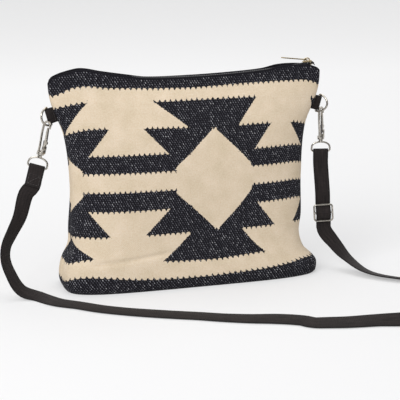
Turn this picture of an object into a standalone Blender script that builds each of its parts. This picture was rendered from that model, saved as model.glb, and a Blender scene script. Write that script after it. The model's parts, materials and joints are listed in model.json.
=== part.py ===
"""Woven crossbody bag: a zipped pouch, side tabs with D-rings, two swivel snap hooks and a webbing strap.

Metres, +Z up. The origin is the middle of the pouch's base, on the surface it stands on. The front faces -Y.
"""

import math

import bmesh
import bpy
from mathutils import Matrix, Vector

for thing in list(bpy.data.objects):
    bpy.data.objects.remove(thing, do_unlink=True)

MM = 0.001
GAP = 0.3 * MM  # clearance between pieces that touch

# The pouch, from its base to its mouth
BASE_WIDTH = 258 * MM
BASE_DEPTH = 74 * MM
BASE_SHIFT = 4 * MM  # the filled base leans this far to the right of the mouth
BASE_BULGE_HEIGHT = 14 * MM
BASE_EDGE_ROUND = 12 * MM
HIP_HEIGHT = 50 * MM
HIP_WIDTH = 243 * MM
HIP_DEPTH = 68 * MM
WAIST_HEIGHT = 100 * MM
WAIST_WIDTH = 235 * MM
WAIST_DEPTH = 60 * MM
SHOULDER_HEIGHT = 150 * MM
SHOULDER_WIDTH = 242 * MM
SHOULDER_DEPTH = 46 * MM
NECK_HEIGHT = 180 * MM
NECK_WIDTH = 264 * MM
NECK_DEPTH = 29 * MM
MOUTH_HEIGHT = 202.3 * MM  # cloth edge in the middle of the sagging mouth
MOUTH_WIDTH = 274 * MM
MOUTH_DEPTH = 15 * MM
CLOTH_THICK = 1.8 * MM
CORNER_DROP = 14.5 * MM
CORNER_START = 114 * MM

# The woven pattern, in the cloth's own plane
CLOTH_WIDTH = 272 * MM
CELL = 8.6 * MM
MOTIF_SHIFT = 18 * MM  # the cloth is cut so that its motif stands right of the middle
LEFT_REPEAT = 20  # cells from the motif to its neighbour
RIGHT_REPEAT = 18
STRIPE_HEIGHT = 19 * MM
BAND_HEIGHT = 16.5 * MM
WING_HEIGHT = 24 * MM
OUTER_HEIGHT = 25.5 * MM
BOTTOM_BAND_TOP = 11 * MM
BAND_ROWS = 2
WING_ROWS = 3
TOP_BAND_DEPTH = 9.3 * MM
TOP_BAND_EDGE = MOUTH_HEIGHT - TOP_BAND_DEPTH
PATTERN_LIFT = 3.5 * MM  # the pattern's middle stands above that of the cloth between its edge bands
PATTERN_MIDDLE = (BOTTOM_BAND_TOP + TOP_BAND_EDGE) / 2 + PATTERN_LIFT

# The lining
LINING_THICK = 0.8 * MM
LINING_CLEAR = 1.4 * MM
LINING_FLOOR = 2.7 * MM
LINING_BELOW_EDGE = 6 * MM
LINING_BASE_INSET = 8 * MM
LINING_ROWS = 7

# The zip follows the sagging edge as one arc
ZIP_HALF_CHORD = 112 * MM
ZIP_SAG = 7.5 * MM
ZIP_BELOW_EDGE = 0.6 * MM
ZIP_LEFT = -114 * MM
SLIDER_AT = 124 * MM
TAPE_LEFT = -119 * MM
TAPE_RIGHT = 131.2 * MM
TAPE_THICK = 0.8 * MM
TAPE_WALL_CLEAR = 0.5 * MM
TAPE_NARROWEST = 0.7 * MM
END_CURL = 3 * MM  # how sharply the zip's end curls down past the slider
TOOTH_PITCH = 4.5 * MM
TOOTH_DEPTH = 2.8 * MM
TOOTH_TIP = 0.9 * MM
TOOTH_THICK = 1.6 * MM
TOOTH_PLAY = 0.8 * MM  # between meshed teeth, along the zip
SPINE_WIDTH = 1.1 * MM
STOP_LENGTH = 2.0 * MM
STOP_RISE = 1.3 * MM  # the crimped stops stand this far above and below the teeth's middle
TOP_STOP_INNER = 0.6 * MM  # half the gap between the two top stops
SLIDER_LENGTH = 8.6 * MM
SLIDER_WIDTH = 7.4 * MM
PLATE_THICK = 1.0 * MM
WEDGE_HALF = 1.1 * MM
BRIDGE_RISE = 2.6 * MM
BRIDGE_HALF_SPAN = 3.0 * MM
BRIDGE_WIRE = 0.6 * MM  # radius
PULL_LENGTH = 27 * MM
PULL_WIDTH = 4.8 * MM
PULL_THICK = 1.0 * MM
PULL_SLOT_LENGTH = 4.4 * MM
PULL_SLOT_WIDTH = 2.2 * MM
PULL_END = 1.0 * MM
PULL_SHOULDER = 0.4 * MM
PULL_TAPER = 3 * MM
PULL_LIFT = math.radians(15)

# Side tabs and D-rings
WEBBING_WIDTH = 15 * MM
WEBBING_THICK = 1.2 * MM
TAB_HEIGHT = 172 * MM
TAB_REACH = 7 * MM  # from the side seam to the ring's bar
TAB_TILT = math.radians(15)
RING_WIRE = 1.1 * MM  # radius
RING_HALF_HEIGHT = 8.6 * MM
RING_REACH = 11 * MM
RING_SWING = {"left": math.radians(40), "right": math.radians(53)}
HANG_ANGLE = math.radians(-56)  # where on the ring's arc the hook hangs

# Snap hooks
HOOK_TILT = {"left": math.radians(15.5), "right": math.radians(-1)}
HOOK_WIRE = 1.25 * MM  # radius of the cast bow
JAW_HALF = 2.9 * MM
BOW_FOOT = 0.2 * MM  # height of the bow's straight sides above the ring's wire
BOW_FLATNESS = 0.8
SPINE_SPLAY = -8 * MM  # the spine leaves the jaw's line here
SPINE_NARROW = 5 * MM  # and has reached the collar's line this far above it
COLLAR_RADIUS = 3.6 * MM
COLLAR_TOP = -25.5 * MM
COLLAR_THICK = 3.2 * MM
NOSE_END = -2.6 * MM
LUG_HALF_LENGTH = 1.3 * MM
LUG_HALF_THICK = 2.1 * MM
LUG_SLOT_HALF = 1.3 * MM
LUG_TOP = -19.4 * MM
LUG_FLOOR = -23.8 * MM
PIVOT_U = 3.2 * MM
PIVOT_W = -21.4 * MM
PIN_RADIUS = 0.5 * MM
GATE_EYE = 1.25 * MM  # radius of the gate's rounded foot
GATE_HALF_THICK = 1.0 * MM
GATE_TIP = 1.2 * MM
GATE_TOP = -1.7 * MM
STUD_FOOT = 3.4 * MM  # above the pin, where the thumb stud starts
STUD_TALL = 3.6 * MM
STUD_PROUD = 1.2 * MM
SPRING_THICK = 0.4 * MM
SPRING_HALF_WIDTH = 0.8 * MM
SPRING_LEAN = 0.5 * MM
SPRING_REACH = 5 * MM

# Swivel eyes
POST_RADIUS = 1.0 * MM
POST_HEAD_RADIUS = 1.5 * MM
POST_HEAD_THICK = 0.9 * MM
EYE_WIRE = 1.0 * MM  # radius
EYE_HALF_WIDTH = 9.2 * MM
EYE_BAR = -41 * MM  # below the ring's wire, along the hook
EYE_HEIGHT = 9.5 * MM
EYE_ARCH = 6.4 * MM
EYE_CORNER = 1.2 * MM
SHOULDER_RADIUS = 2.2 * MM
STRAP_FACING = math.radians(-16.7)  # the strap's ends face this way in plan

# Slide adjuster
ADJUSTER_WIRE = 1.0 * MM  # radius
ADJUSTER_HALF_WIDTH = 9.3 * MM
ADJUSTER_HALF_HEIGHT = 8.4 * MM
ADJUSTER_ROUND = 2.5 * MM
ADJUSTER_DOWN = 64 * MM  # below the right eye's bar

BAR_TO_WEBBING = EYE_WIRE + 0.4 * MM + WEBBING_THICK / 2
LAYER_OFFSET = 1.0 * MM  # each of two sewn or doubled layers, from their middle
SEWN_TAIL = 19 * MM
LOOP_SPLAY = 1.5 * MM  # the layers part this far as they near a bar
LOOP_NECK = 5 * MM
LOOP_END = 12 * MM  # below this the layers lie together
WEAVE_REACH = 14 * MM  # the doubled layers close this far above the adjuster

# The strap's free length, from the left eye to the adjuster: hanging points, then points on the floor
LEFT_HANG = (
    (-161, -3, 97), (-168, -6, 76), (-176, -9, 62), (-182.5, -13, 51), (-184.5, -16, 40),
    (-182, -20, 28), (-172, -24, 9),
)
# x, y, and how far the webbing leans from flat towards its edge, in degrees
FLOOR_RUN = (
    (-157, -29, 30), (-142, -50, 24), (-124, -64, 12), (-106, -80, 13), (-85, -94, 15),
    (-64, -106, 16), (-42, -117, 17), (-25, -125, 18), (-7, -135, 19), (16, -146, 26),
    (39, -155, 31), (58, -165, 34), (66, -174, 42), (77, -178, 46), (97, -183, 46),
    (123, -187, 56), (145, -194, 72), (178, -200, 78), (212, -206, 70), (250, -212, 60),
    (292, -216, 50), (334, -213, 42), (370, -200, 36), (392, -174, 30), (393, -142, 26),
    (372, -118, 22), (338, -108, 20), (300, -106, 18), (262, -106, 16), (228, -95, 14), (197, -76, 12),
)
FLOOR_CLEARANCE = 0.5 * MM
RIGHT_HANG = ((173, -52, 4.5), (162, -27, 12.5), (150.5, -15, 28), (142.5, -10, 40))

parts = bpy.data.collections.new("crossbody_bag")
cutters = bpy.data.collections.new("cutters")
bpy.context.scene.collection.children.link(parts)
bpy.context.scene.collection.children.link(cutters)


def make_material(name, red, green, blue, roughness, metallic=0.0):
    made = bpy.data.materials.new(name)
    made.use_nodes = True
    shader = made.node_tree.nodes["Principled BSDF"]
    shader.inputs["Base Color"].default_value = (red, green, blue, 1.0)
    shader.inputs["Roughness"].default_value = roughness
    shader.inputs["Metallic"].default_value = metallic
    return made


CREAM_COTTON = make_material("cream_cotton", 0.74, 0.62, 0.44, 0.9)
BLACK_COTTON = make_material("black_cotton", 0.012, 0.012, 0.014, 0.9)
LINING_COTTON = make_material("lining_cotton", 0.03, 0.03, 0.032, 0.95)
ZIP_TAPE = make_material("zip_tape", 0.012, 0.012, 0.014, 0.9)
ZIP_NYLON = make_material("zip_nylon", 0.015, 0.015, 0.016, 0.5)
PALE_GOLD = make_material("pale_gold", 0.78, 0.66, 0.42, 0.3, 1.0)
BLACK_WEBBING = make_material("black_webbing", 0.018, 0.015, 0.014, 0.85)
NICKEL = make_material("nickel_plate", 0.66, 0.64, 0.6, 0.25, 1.0)
SPRING_STEEL = make_material("spring_steel", 0.5, 0.5, 0.5, 0.35, 1.0)


def place(made, parent, collection):
    collection.objects.link(made)
    made.parent = parent
    if collection is cutters:
        made.hide_render = True
        made.display_type = "WIRE"
    return made


def mesh_object(name, shape, material, parent=None, collection=parts, smooth=False):
    """An object from a bmesh, whose faces are turned outward first where it is closed."""
    mesh = bpy.data.meshes.new(name)
    shape.to_mesh(mesh)
    shape.free()
    mesh.materials.append(material)
    if smooth:
        mesh.shade_smooth()
        mesh.set_sharp_from_angle(angle=math.radians(40))
    return place(bpy.data.objects.new(name, mesh), parent, collection)


def joint_empty(name, matrix):
    """An empty on a joint's axis, whose axes are those of the pieces under it."""
    made = bpy.data.objects.new(name, None)
    parts.objects.link(made)
    made.matrix_world = matrix
    return made


def frame_matrix(origin, side, up):
    """A frame at origin with local Z along up, and local X as near to side as it can be."""
    z_axis = up.normalized()
    x_axis = (side - side.dot(z_axis) * z_axis).normalized()
    y_axis = z_axis.cross(x_axis)
    turned = Matrix((x_axis, y_axis, z_axis)).transposed().to_4x4()
    turned.translation = origin
    return turned


def wire(name, points, radius, material, parent, cyclic=False, collection=parts, fineness=2):
    """A round wire along points, as a closed mesh."""
    curve = bpy.data.curves.new(name, "CURVE")
    curve.dimensions = "3D"
    curve.bevel_depth = radius
    curve.bevel_resolution = fineness
    curve.use_fill_caps = True
    curve.render_resolution_u = 0
    line = curve.splines.new("POLY")
    line.points.add(len(points) - 1)
    line.use_cyclic_u = cyclic
    for number, point in enumerate(points):
        line.points[number].co = (*point, 1.0)
    drawn = bpy.data.objects.new(name, curve)
    bpy.context.scene.collection.objects.link(drawn)
    mesh = bpy.data.meshes.new_from_object(drawn.evaluated_get(bpy.context.evaluated_depsgraph_get()))
    bpy.data.objects.remove(drawn, do_unlink=True)
    bpy.data.curves.remove(curve)
    shape = bmesh.new()
    shape.from_mesh(mesh)
    bpy.data.meshes.remove(mesh)
    bmesh.ops.remove_doubles(shape, verts=shape.verts, dist=0.00001)
    bmesh.ops.recalc_face_normals(shape, faces=shape.faces)
    return mesh_object(name, shape, material, parent, collection, smooth=True)


def extruded(name, outline, low, high, material, parent, axis="z", collection=parts, bevel=0.0):
    """A flat outline given in two axes, made solid from low to high along the third."""
    shape = bmesh.new()
    turn = {"z": lambda a, b, c: (a, b, c), "y": lambda a, b, c: (a, c, b)}[axis]
    rim = [shape.verts.new(turn(a, b, low)) for a, b in outline]
    face = shape.faces.new(rim)
    grown = bmesh.ops.extrude_face_region(shape, geom=[face])["geom"]
    rise = Vector(turn(0, 0, high - low))
    bmesh.ops.translate(shape, vec=rise, verts=[v for v in grown if isinstance(v, bmesh.types.BMVert)])
    bmesh.ops.recalc_face_normals(shape, faces=shape.faces)
    made = mesh_object(name, shape, material, parent, collection)
    if bevel:
        rounding = made.modifiers.new("rounded_edges", "BEVEL")
        rounding.width = bevel
        rounding.segments = 1
        rounding.limit_method = "ANGLE"
    return made


def box(name, low, high, material, parent, collection=parts):
    shape = bmesh.new()
    size = Vector(high) - Vector(low)
    middle = (Vector(high) + Vector(low)) / 2
    bmesh.ops.create_cube(shape, size=1.0, matrix=Matrix.Translation(middle) @ Matrix.Diagonal((*size, 1.0)))
    return mesh_object(name, shape, material, parent, collection)


def rod(name, radius, start, end, material, parent, collection=parts, sides=12):
    """A round rod between two points."""
    line = Vector(end) - Vector(start)
    turn = Vector((0, 0, 1)).rotation_difference(line).to_matrix().to_4x4()
    at = Matrix.Translation((Vector(start) + Vector(end)) / 2) @ turn
    shape = bmesh.new()
    bmesh.ops.create_cone(
        shape, cap_ends=True, segments=sides, radius1=radius, radius2=radius, depth=line.length, matrix=at
    )
    return mesh_object(name, shape, material, parent, collection, smooth=True)


def combine(target, tool, operation):
    step = target.modifiers.new(tool.name, "BOOLEAN")
    step.operation = operation
    step.solver = "EXACT"
    step.object = tool


SECTIONS = (
    # height, middle, half width, half depth, squareness
    (BASE_BULGE_HEIGHT, BASE_SHIFT, BASE_WIDTH / 2, BASE_DEPTH / 2, 4.6),
    (HIP_HEIGHT, BASE_SHIFT / 4, HIP_WIDTH / 2, HIP_DEPTH / 2, 3.4),
    (WAIST_HEIGHT, 0.0, WAIST_WIDTH / 2, WAIST_DEPTH / 2, 2.8),
    (SHOULDER_HEIGHT, 0.0, SHOULDER_WIDTH / 2, SHOULDER_DEPTH / 2, 2.8),
    (NECK_HEIGHT, 0.0, NECK_WIDTH / 2, NECK_DEPTH / 2, 3.2),
    (MOUTH_HEIGHT, 0.0, MOUTH_WIDTH / 2, MOUTH_DEPTH / 2, 4.0),
)


def section_at(height):
    """The pouch's level section at a height: middle, half width, half depth and squareness."""
    if height >= SECTIONS[-1][0]:
        return SECTIONS[-1][1:]
    if height <= SECTIONS[0][0]:
        middle, half_width, half_depth, square = SECTIONS[0][1:]
        share = 1 - max(height, 0.0) / BASE_BULGE_HEIGHT
        tuck = BASE_EDGE_ROUND * (1 - math.sqrt(1 - share * share))
        return middle, half_width - tuck, half_depth - tuck, square
    upper = next(i for i, row in enumerate(SECTIONS) if row[0] > height)
    before, after = SECTIONS[upper - 1], SECTIONS[upper]
    span = after[0] - before[0]
    t = (height - before[0]) / span
    values = []
    for column in range(1, 5):
        slopes = []
        for at in (upper - 1, upper):
            low, high = SECTIONS[max(at - 1, 0)], SECTIONS[min(at + 1, len(SECTIONS) - 1)]
            ends = at in (0, len(SECTIONS) - 1)
            slopes.append(0.0 if ends else (high[column] - low[column]) / (high[0] - low[0]))
        values.append(
            before[column] * (2 * t**3 - 3 * t**2 + 1)
            + slopes[0] * span * (t**3 - 2 * t**2 + t)
            + after[column] * (3 * t**2 - 2 * t**3)
            + slopes[1] * span * (t**3 - t**2)
        )
    return tuple(values)


def front_arc(height, inset, samples=240):
    """Points of the section's front half, from the left seam to the right one."""
    middle, half_width, half_depth, square = section_at(height)
    power = 2 / square
    line = []
    for i in range(samples + 1):
        angle = math.pi * (1 + i / samples)
        across, out = math.cos(angle), abs(math.sin(angle))
        x = math.copysign(abs(across) ** power, across) * (half_width - inset)
        y = -(out**power) * (half_depth - inset) if 0 < i < samples else 0.0
        line.append((middle + x, y))
    return line


def spread(line, shares):
    """Places at shares of a line's length."""
    reach = [0.0]
    for (x0, y0), (x1, y1) in zip(line, line[1:]):
        reach.append(reach[-1] + math.hypot(x1 - x0, y1 - y0))
    found, at = [], 0
    for share in shares:
        wanted = share * reach[-1]
        while at < len(line) - 2 and reach[at + 1] < wanted:
            at += 1
        t = (wanted - reach[at]) / (reach[at + 1] - reach[at])
        (x0, y0), (x1, y1) = line[at], line[at + 1]
        found.append((x0 + (x1 - x0) * t, y0 + (y1 - y0) * t))
    return found


ZIP_RADIUS = (ZIP_HALF_CHORD**2 + ZIP_SAG**2) / (2 * ZIP_SAG)
ARC_CENTRE = MOUTH_HEIGHT + ZIP_RADIUS  # height of the centre of the arc that the mouth follows


def mouth_height(x):
    """The cloth edge: a sagging arc that drops away at the corners."""
    past = max(abs(x) - CORNER_START, 0.0) / (MOUTH_WIDTH / 2 - CORNER_START)
    return ARC_CENTRE - math.sqrt(ZIP_RADIUS**2 - x * x) - CORNER_DROP * past**2.4


def loft(shape, shares, levels, inset_at, top_drop):
    """Rings of points round the pouch, front then back, at heights or at shares of the top band."""
    rings = []
    for level in levels:
        flat, share = level if isinstance(level, tuple) else (level, 0.0)
        nominal = flat + (MOUTH_HEIGHT - flat) * share
        places = spread(front_arc(nominal, inset_at(flat)), shares)
        middle = section_at(nominal)[0]
        both = places + [(2 * middle - x, -y) for x, y in places[1:-1]]
        ring = []
        for x, y in both:
            z = flat + (mouth_height(x) - top_drop - flat) * share
            ring.append(shape.verts.new((x, y, z)))
        rings.append(ring)
    return rings


def cloth_columns():
    """Distances across one panel of cloth, from its left seam to its right, with one on each motif edge."""
    half = CLOTH_WIDTH / 2
    left, right = int((half + MOTIF_SHIFT) / CELL), int((half - MOTIF_SHIFT) / CELL)
    return [-half] + [MOTIF_SHIFT + k * CELL for k in range(-left, right + 1)] + [half]


def cloth_zones():
    """The cloth's zones from the base up: name, lower edge, upper edge, rows, and +1 above the middle."""
    heights = (
        ("stripe", STRIPE_HEIGHT / 2, 1), ("band", BAND_HEIGHT, BAND_ROWS),
        ("wing", WING_HEIGHT, WING_ROWS), ("outer", OUTER_HEIGHT, WING_ROWS),
    )
    upper, at = [], PATTERN_MIDDLE
    for name, tall, rows in heights:
        upper.append((name, at, at + tall, rows, 1))
        at += tall
    upper.append(("margin", at, TOP_BAND_EDGE, 1, 1))
    lower, at = [], PATTERN_MIDDLE
    for name, tall, rows in heights:
        lower.insert(0, (name, at - tall, at, rows, -1))
        at -= tall
    lower.insert(0, ("margin", BOTTOM_BAND_TOP, at, 1, -1))
    return lower + upper


def is_black(zone, across, share):
    """Whether the cloth is black at a distance across it and a share of a zone from the middle out."""
    motifs = [MOTIF_SHIFT - LEFT_REPEAT * CELL, MOTIF_SHIFT, MOTIF_SHIFT + RIGHT_REPEAT * CELL]
    away = min(abs(across - middle) for middle in motifs) / CELL
    if zone == "band":
        return away > 5 - 2 * share
    if zone == "wing":
        return 3 - 3 * share < away < 5 + 3 * share
    if zone == "outer":
        return away < 3 + 3 * share
    return zone == "edge"


def woven_shell():
    """Both panels and the base: heavy woven cotton, with its pattern as fields of black and cream."""
    columns = cloth_columns()
    shares = [(s + CLOTH_WIDTH / 2) / CLOTH_WIDTH for s in columns]
    edge_levels = [0.0, BOTTOM_BAND_TOP * 0.14, BOTTOM_BAND_TOP * 0.45]
    levels, rows = list(edge_levels), [("edge", 0, 1)] * 3
    for name, low, high, count, side in cloth_zones():
        for k in range(count):
            levels.append(low + (high - low) * k / count)
            share = (k / count, (k + 1) / count)
            rows.append((name, *(share if side > 0 else (1 - share[0], 1 - share[1]))))
    levels += [(TOP_BAND_EDGE, 0.0), (TOP_BAND_EDGE, 0.5), (TOP_BAND_EDGE, 1.0)]
    rows += [("edge", 0, 1)] * 2
    shape = bmesh.new()
    rings = loft(shape, shares, levels, lambda flat: 0.0, 0.0)
    around = len(rings[0])
    for (zone, low, high), lower, upper in zip(rows, rings, rings[1:]):
        for i in range(around):
            j = (i + 1) % around
            k = i % (len(columns) - 1)
            left, right = columns[k], columns[k + 1]
            middle, centre = (left + right) / 2, (low + high) / 2
            inward = 0.2
            on_left = is_black(zone, left + (right - left) * inward, centre)
            on_right = is_black(zone, right - (right - left) * inward, centre)
            on_low = is_black(zone, middle, low + (high - low) * inward)
            on_high = is_black(zone, middle, high - (high - low) * inward)
            if on_left == on_high and on_right == on_low:
                corners = ((lower[i], upper[j], upper[i]), (lower[i], lower[j], upper[j]))
            else:
                corners = ((lower[i], lower[j], upper[i]), (lower[j], upper[j], upper[i]))
            for corner, shade in zip(corners, (on_left, on_right)):
                shape.faces.new(corner).material_index = int(shade)
    base = shape.faces.new(list(reversed(rings[0])))
    base.material_index = 1
    made = mesh_object("woven_shell", shape, CREAM_COTTON, smooth=True)
    made.data.materials.append(BLACK_COTTON)
    wall = made.modifiers.new("cloth_thickness", "SOLIDIFY")
    wall.thickness = CLOTH_THICK
    wall.offset = -1
    wall.use_even_offset = True


def lining():
    """A thin bag of plain cotton inside the woven one."""
    shares = [((s + CLOTH_WIDTH / 2) / CLOTH_WIDTH) for s in cloth_columns()[::4]]
    rise = (NECK_HEIGHT - BASE_BULGE_HEIGHT) / LINING_ROWS
    levels = [LINING_FLOOR, LINING_FLOOR * 2.4]
    levels += [BASE_BULGE_HEIGHT + rise * k for k in range(LINING_ROWS + 1)]
    levels.append((TOP_BAND_EDGE, 1.0))

    def inset_at(flat):
        clear = CLOTH_THICK + LINING_CLEAR
        return clear + LINING_BASE_INSET * max(0.0, 1 - flat / BASE_BULGE_HEIGHT)

    shape = bmesh.new()
    rings = loft(shape, shares, levels, inset_at, LINING_BELOW_EDGE)
    for lower, upper in zip(rings, rings[1:]):
        for i, here in enumerate(lower):
            j = (i + 1) % len(lower)
            shape.faces.new((here, lower[j], upper[j], upper[i]))
    shape.faces.new(list(reversed(rings[0])))
    made = mesh_object("cotton_lining", shape, LINING_COTTON, smooth=True)
    wall = made.modifiers.new("lining_thickness", "SOLIDIFY")
    wall.thickness = LINING_THICK
    wall.offset = -1
    wall.use_even_offset = True


def on_zip_arc(x, y, rise):
    """A point at a distance x along the zip, y across it and rise above the teeth's middle."""
    radius = ZIP_RADIUS + ZIP_BELOW_EDGE - rise
    angle = x / ZIP_RADIUS
    past = max(x - SLIDER_AT - SLIDER_LENGTH / 2, 0.0)
    return (radius * math.sin(angle), y, ARC_CENTRE - radius * math.cos(angle) - past * past / END_CURL)


BASE_TO_BASE = (TOOTH_PITCH + TOOTH_PLAY) * TOOTH_DEPTH / (TOOTH_PITCH - TOOTH_TIP)
SPINE_OUT = BASE_TO_BASE / 2 + SPINE_WIDTH
TEETH = int((SLIDER_AT - ZIP_LEFT) / TOOTH_PITCH)


def zip_comb(name, side):
    """One side of the zip: a spine with teeth that mesh with those of the other side."""
    start = ZIP_LEFT + (TOOTH_PITCH / 2 if side > 0 else 0.0)
    count = TEETH - (1 if side > 0 else 0)
    root, tip, back = BASE_TO_BASE / 2, BASE_TO_BASE / 2 - TOOTH_DEPTH, SPINE_OUT
    shape = bmesh.new()

    def corner(x, y):
        return shape.verts.new(on_zip_arc(x, -side * y, TOOTH_THICK / 2))

    inner = [corner(start + k * TOOTH_PITCH, root) for k in range(count + 1)]
    outer = [corner(start + k * TOOTH_PITCH, back) for k in range(count + 1)]
    flat = (TOOTH_PITCH - TOOTH_TIP) / 2
    for k in range(count):
        x = start + k * TOOTH_PITCH
        near, far = corner(x + flat, tip), corner(x + TOOTH_PITCH - flat, tip)
        shape.faces.new((outer[k], outer[k + 1], inner[k + 1], inner[k]))
        shape.faces.new((inner[k], inner[k + 1], far, near))
    bmesh.ops.recalc_face_normals(shape, faces=shape.faces)
    grown = bmesh.ops.extrude_face_region(shape, geom=list(shape.faces))["geom"]
    bmesh.ops.translate(
        shape, vec=(0, 0, -TOOTH_THICK), verts=[v for v in grown if isinstance(v, bmesh.types.BMVert)]
    )
    bmesh.ops.recalc_face_normals(shape, faces=shape.faces)
    mesh_object(name, shape, ZIP_NYLON)


def mouth_inside(x):
    """Half the clear depth of the mouth at a distance from its middle."""
    inset = CLOTH_THICK + TAPE_WALL_CLEAR
    square = SECTIONS[-1][4]
    return (MOUTH_DEPTH / 2 - inset) * (1 - (abs(x) / (MOUTH_WIDTH / 2 - inset)) ** square) ** (1 / square)


def zip_tape(name, side):
    """The woven strip that a comb is sewn on, between the comb and the cloth's edge."""
    stations = 28
    curl_from = SLIDER_AT + SLIDER_LENGTH / 2
    places = [TAPE_LEFT + (curl_from - TAPE_LEFT) * i / stations for i in range(stations + 1)]
    places += [curl_from + (TAPE_RIGHT - curl_from) * share for share in (0.4, 0.7, 1.0)]
    shape = bmesh.new()
    rings = []
    for x in places:
        near = SPINE_OUT + GAP
        far = max(mouth_inside(x), near + TAPE_NARROWEST)
        corners = ((near, -1), (far, -1), (far, 1), (near, 1))
        rings.append([shape.verts.new(on_zip_arc(x, -side * y, up * TAPE_THICK / 2)) for y, up in corners])
    for low, high in zip(rings, rings[1:]):
        for i in range(4):
            j = (i + 1) % 4
            shape.faces.new((low[i], low[j], high[j], high[i]))
    shape.faces.new(rings[0])
    shape.faces.new(rings[-1])
    bmesh.ops.recalc_face_normals(shape, faces=shape.faces)
    mesh_object(name, shape, ZIP_TAPE)


def zip_stop(name, at, low, high):
    """A crimped metal stop at an end of the teeth, from low to high across the zip."""
    shape = bmesh.new()
    rings = []
    for x in (at - STOP_LENGTH / 2, at + STOP_LENGTH / 2):
        corners = ((low, -STOP_RISE), (high, -STOP_RISE), (high, STOP_RISE), (low, STOP_RISE))
        rings.append([shape.verts.new(on_zip_arc(x, y, rise)) for y, rise in corners])
    for i in range(4):
        j = (i + 1) % 4
        shape.faces.new((rings[0][i], rings[0][j], rings[1][j], rings[1][i]))
    shape.faces.new(rings[0])
    shape.faces.new(rings[1])
    bmesh.ops.recalc_face_normals(shape, faces=shape.faces)
    mesh_object(name, shape, NICKEL)


def zip_slider():
    """The slider runs on the arc, so its origin is the arc's centre; the pull turns in its bridge."""
    turn = SLIDER_AT / ZIP_RADIUS
    centre = Matrix.Translation((0, 0, ARC_CENTRE))
    hub = joint_empty("slider_arc_centre", centre @ Matrix.Rotation(-turn, 4, "Y"))
    level = -(ZIP_RADIUS + ZIP_BELOW_EDGE)
    half_long, half_wide = SLIDER_LENGTH / 2, SLIDER_WIDTH / 2
    shield = (
        (-half_long, -half_wide * 0.55), (-half_long * 0.2, -half_wide * 0.8), (half_long * 0.5, -half_wide),
        (half_long, -half_wide * 0.75), (half_long, half_wide * 0.75), (half_long * 0.5, half_wide),
        (-half_long * 0.2, half_wide * 0.8), (-half_long, half_wide * 0.55),
    )
    under = TOOTH_THICK / 2 + GAP
    top = level + under + PLATE_THICK
    body = extruded("zip_slider", shield, level + under, top, PALE_GOLD, hub)
    lower = extruded("slider_lower_plate", shield, level - under - PLATE_THICK, level - under, PALE_GOLD, hub,
                     collection=cutters)
    diamond = ((half_long * 0.3, 0.0), (half_long * 0.6, -WEDGE_HALF), (half_long * 0.92, 0.0),
               (half_long * 0.6, WEDGE_HALF))
    tall = under + PLATE_THICK / 2
    wedge = extruded("slider_wedge", diamond, level - tall, level + tall, PALE_GOLD, hub, collection=cutters)
    arch = [(BRIDGE_HALF_SPAN, 0.0, top - PLATE_THICK / 2)]
    for i in range(1, 8):
        angle = math.pi * i / 8
        arch.append((BRIDGE_HALF_SPAN * math.cos(angle), 0.0, top + BRIDGE_RISE * math.sin(angle) ** 0.7))
    arch.append((-BRIDGE_HALF_SPAN, 0.0, top - PLATE_THICK / 2))
    bridge = wire("slider_bridge", arch, BRIDGE_WIRE, PALE_GOLD, hub, collection=cutters)
    for piece in (wedge, lower, bridge):
        combine(body, piece, "UNION")

    axis_rise = (BRIDGE_RISE - BRIDGE_WIRE) / 2
    pivot = Matrix.Translation((0.0, 0.0, top + axis_rise)) @ Matrix.Rotation(PULL_LIFT, 4, "Y")
    pin = joint_empty("pull_axis", hub.matrix_world @ pivot)
    bar = PULL_END / 2
    half = PULL_WIDTH / 2
    slot_half = PULL_SLOT_WIDTH / 2
    waist = -PULL_SLOT_LENGTH - PULL_TAPER
    tip = -PULL_LENGTH
    one_side = (
        (bar, slot_half), (bar - PULL_SHOULDER, half), (-PULL_SLOT_LENGTH, half),
        (waist, half * 0.62), (tip + PULL_TAPER, half * 0.8), (tip, half * 0.45),
    )
    outline = [(x, -y) for x, y in one_side] + list(reversed(one_side))
    pull = extruded("zip_pull", outline, -PULL_THICK / 2, PULL_THICK / 2, PALE_GOLD, pin)
    slot = box("pull_slot", (-bar - PULL_SLOT_LENGTH, -slot_half, -PULL_THICK), (-bar, slot_half, PULL_THICK),
               PALE_GOLD, pin, cutters)
    combine(pull, slot, "DIFFERENCE")


def side_sign(side):
    return -1 if side == "left" else 1


def tab_frame(side):
    """At the ring's bar: local X points out of the bag, local Z up along the bar."""
    sign = side_sign(side)
    middle, half_width = section_at(TAB_HEIGHT)[:2]
    up = Vector((sign * math.sin(TAB_TILT), 0, math.cos(TAB_TILT)))
    out = Vector((sign * math.cos(TAB_TILT), 0, -math.sin(TAB_TILT)))
    seam = Vector((middle + sign * (half_width + GAP), 0, TAB_HEIGHT))
    return frame_matrix(seam + out * TAB_REACH, out, up)


def side_tab(side):
    """A short piece of webbing, folded round the ring's bar and sewn into the side seam."""
    round_bar = RING_WIRE + 0.4 * MM + WEBBING_THICK / 2
    seam = -TAB_REACH + WEBBING_THICK
    path = [(seam, -LAYER_OFFSET), (-round_bar * 1.6, -LAYER_OFFSET * 1.2)]
    for i in range(9):
        angle = math.radians(-120 + 30 * i)
        path.append((round_bar * math.cos(angle), round_bar * math.sin(angle)))
    path += [(-round_bar * 1.6, LAYER_OFFSET * 1.2), (seam, LAYER_OFFSET)]
    outline = thickened(path, WEBBING_THICK)
    half = WEBBING_WIDTH / 2 - GAP
    anchor = joint_empty(side + "_tab_place", tab_frame(side))
    extruded(side + "_tab", outline, -half, half, BLACK_WEBBING, anchor)


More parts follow.
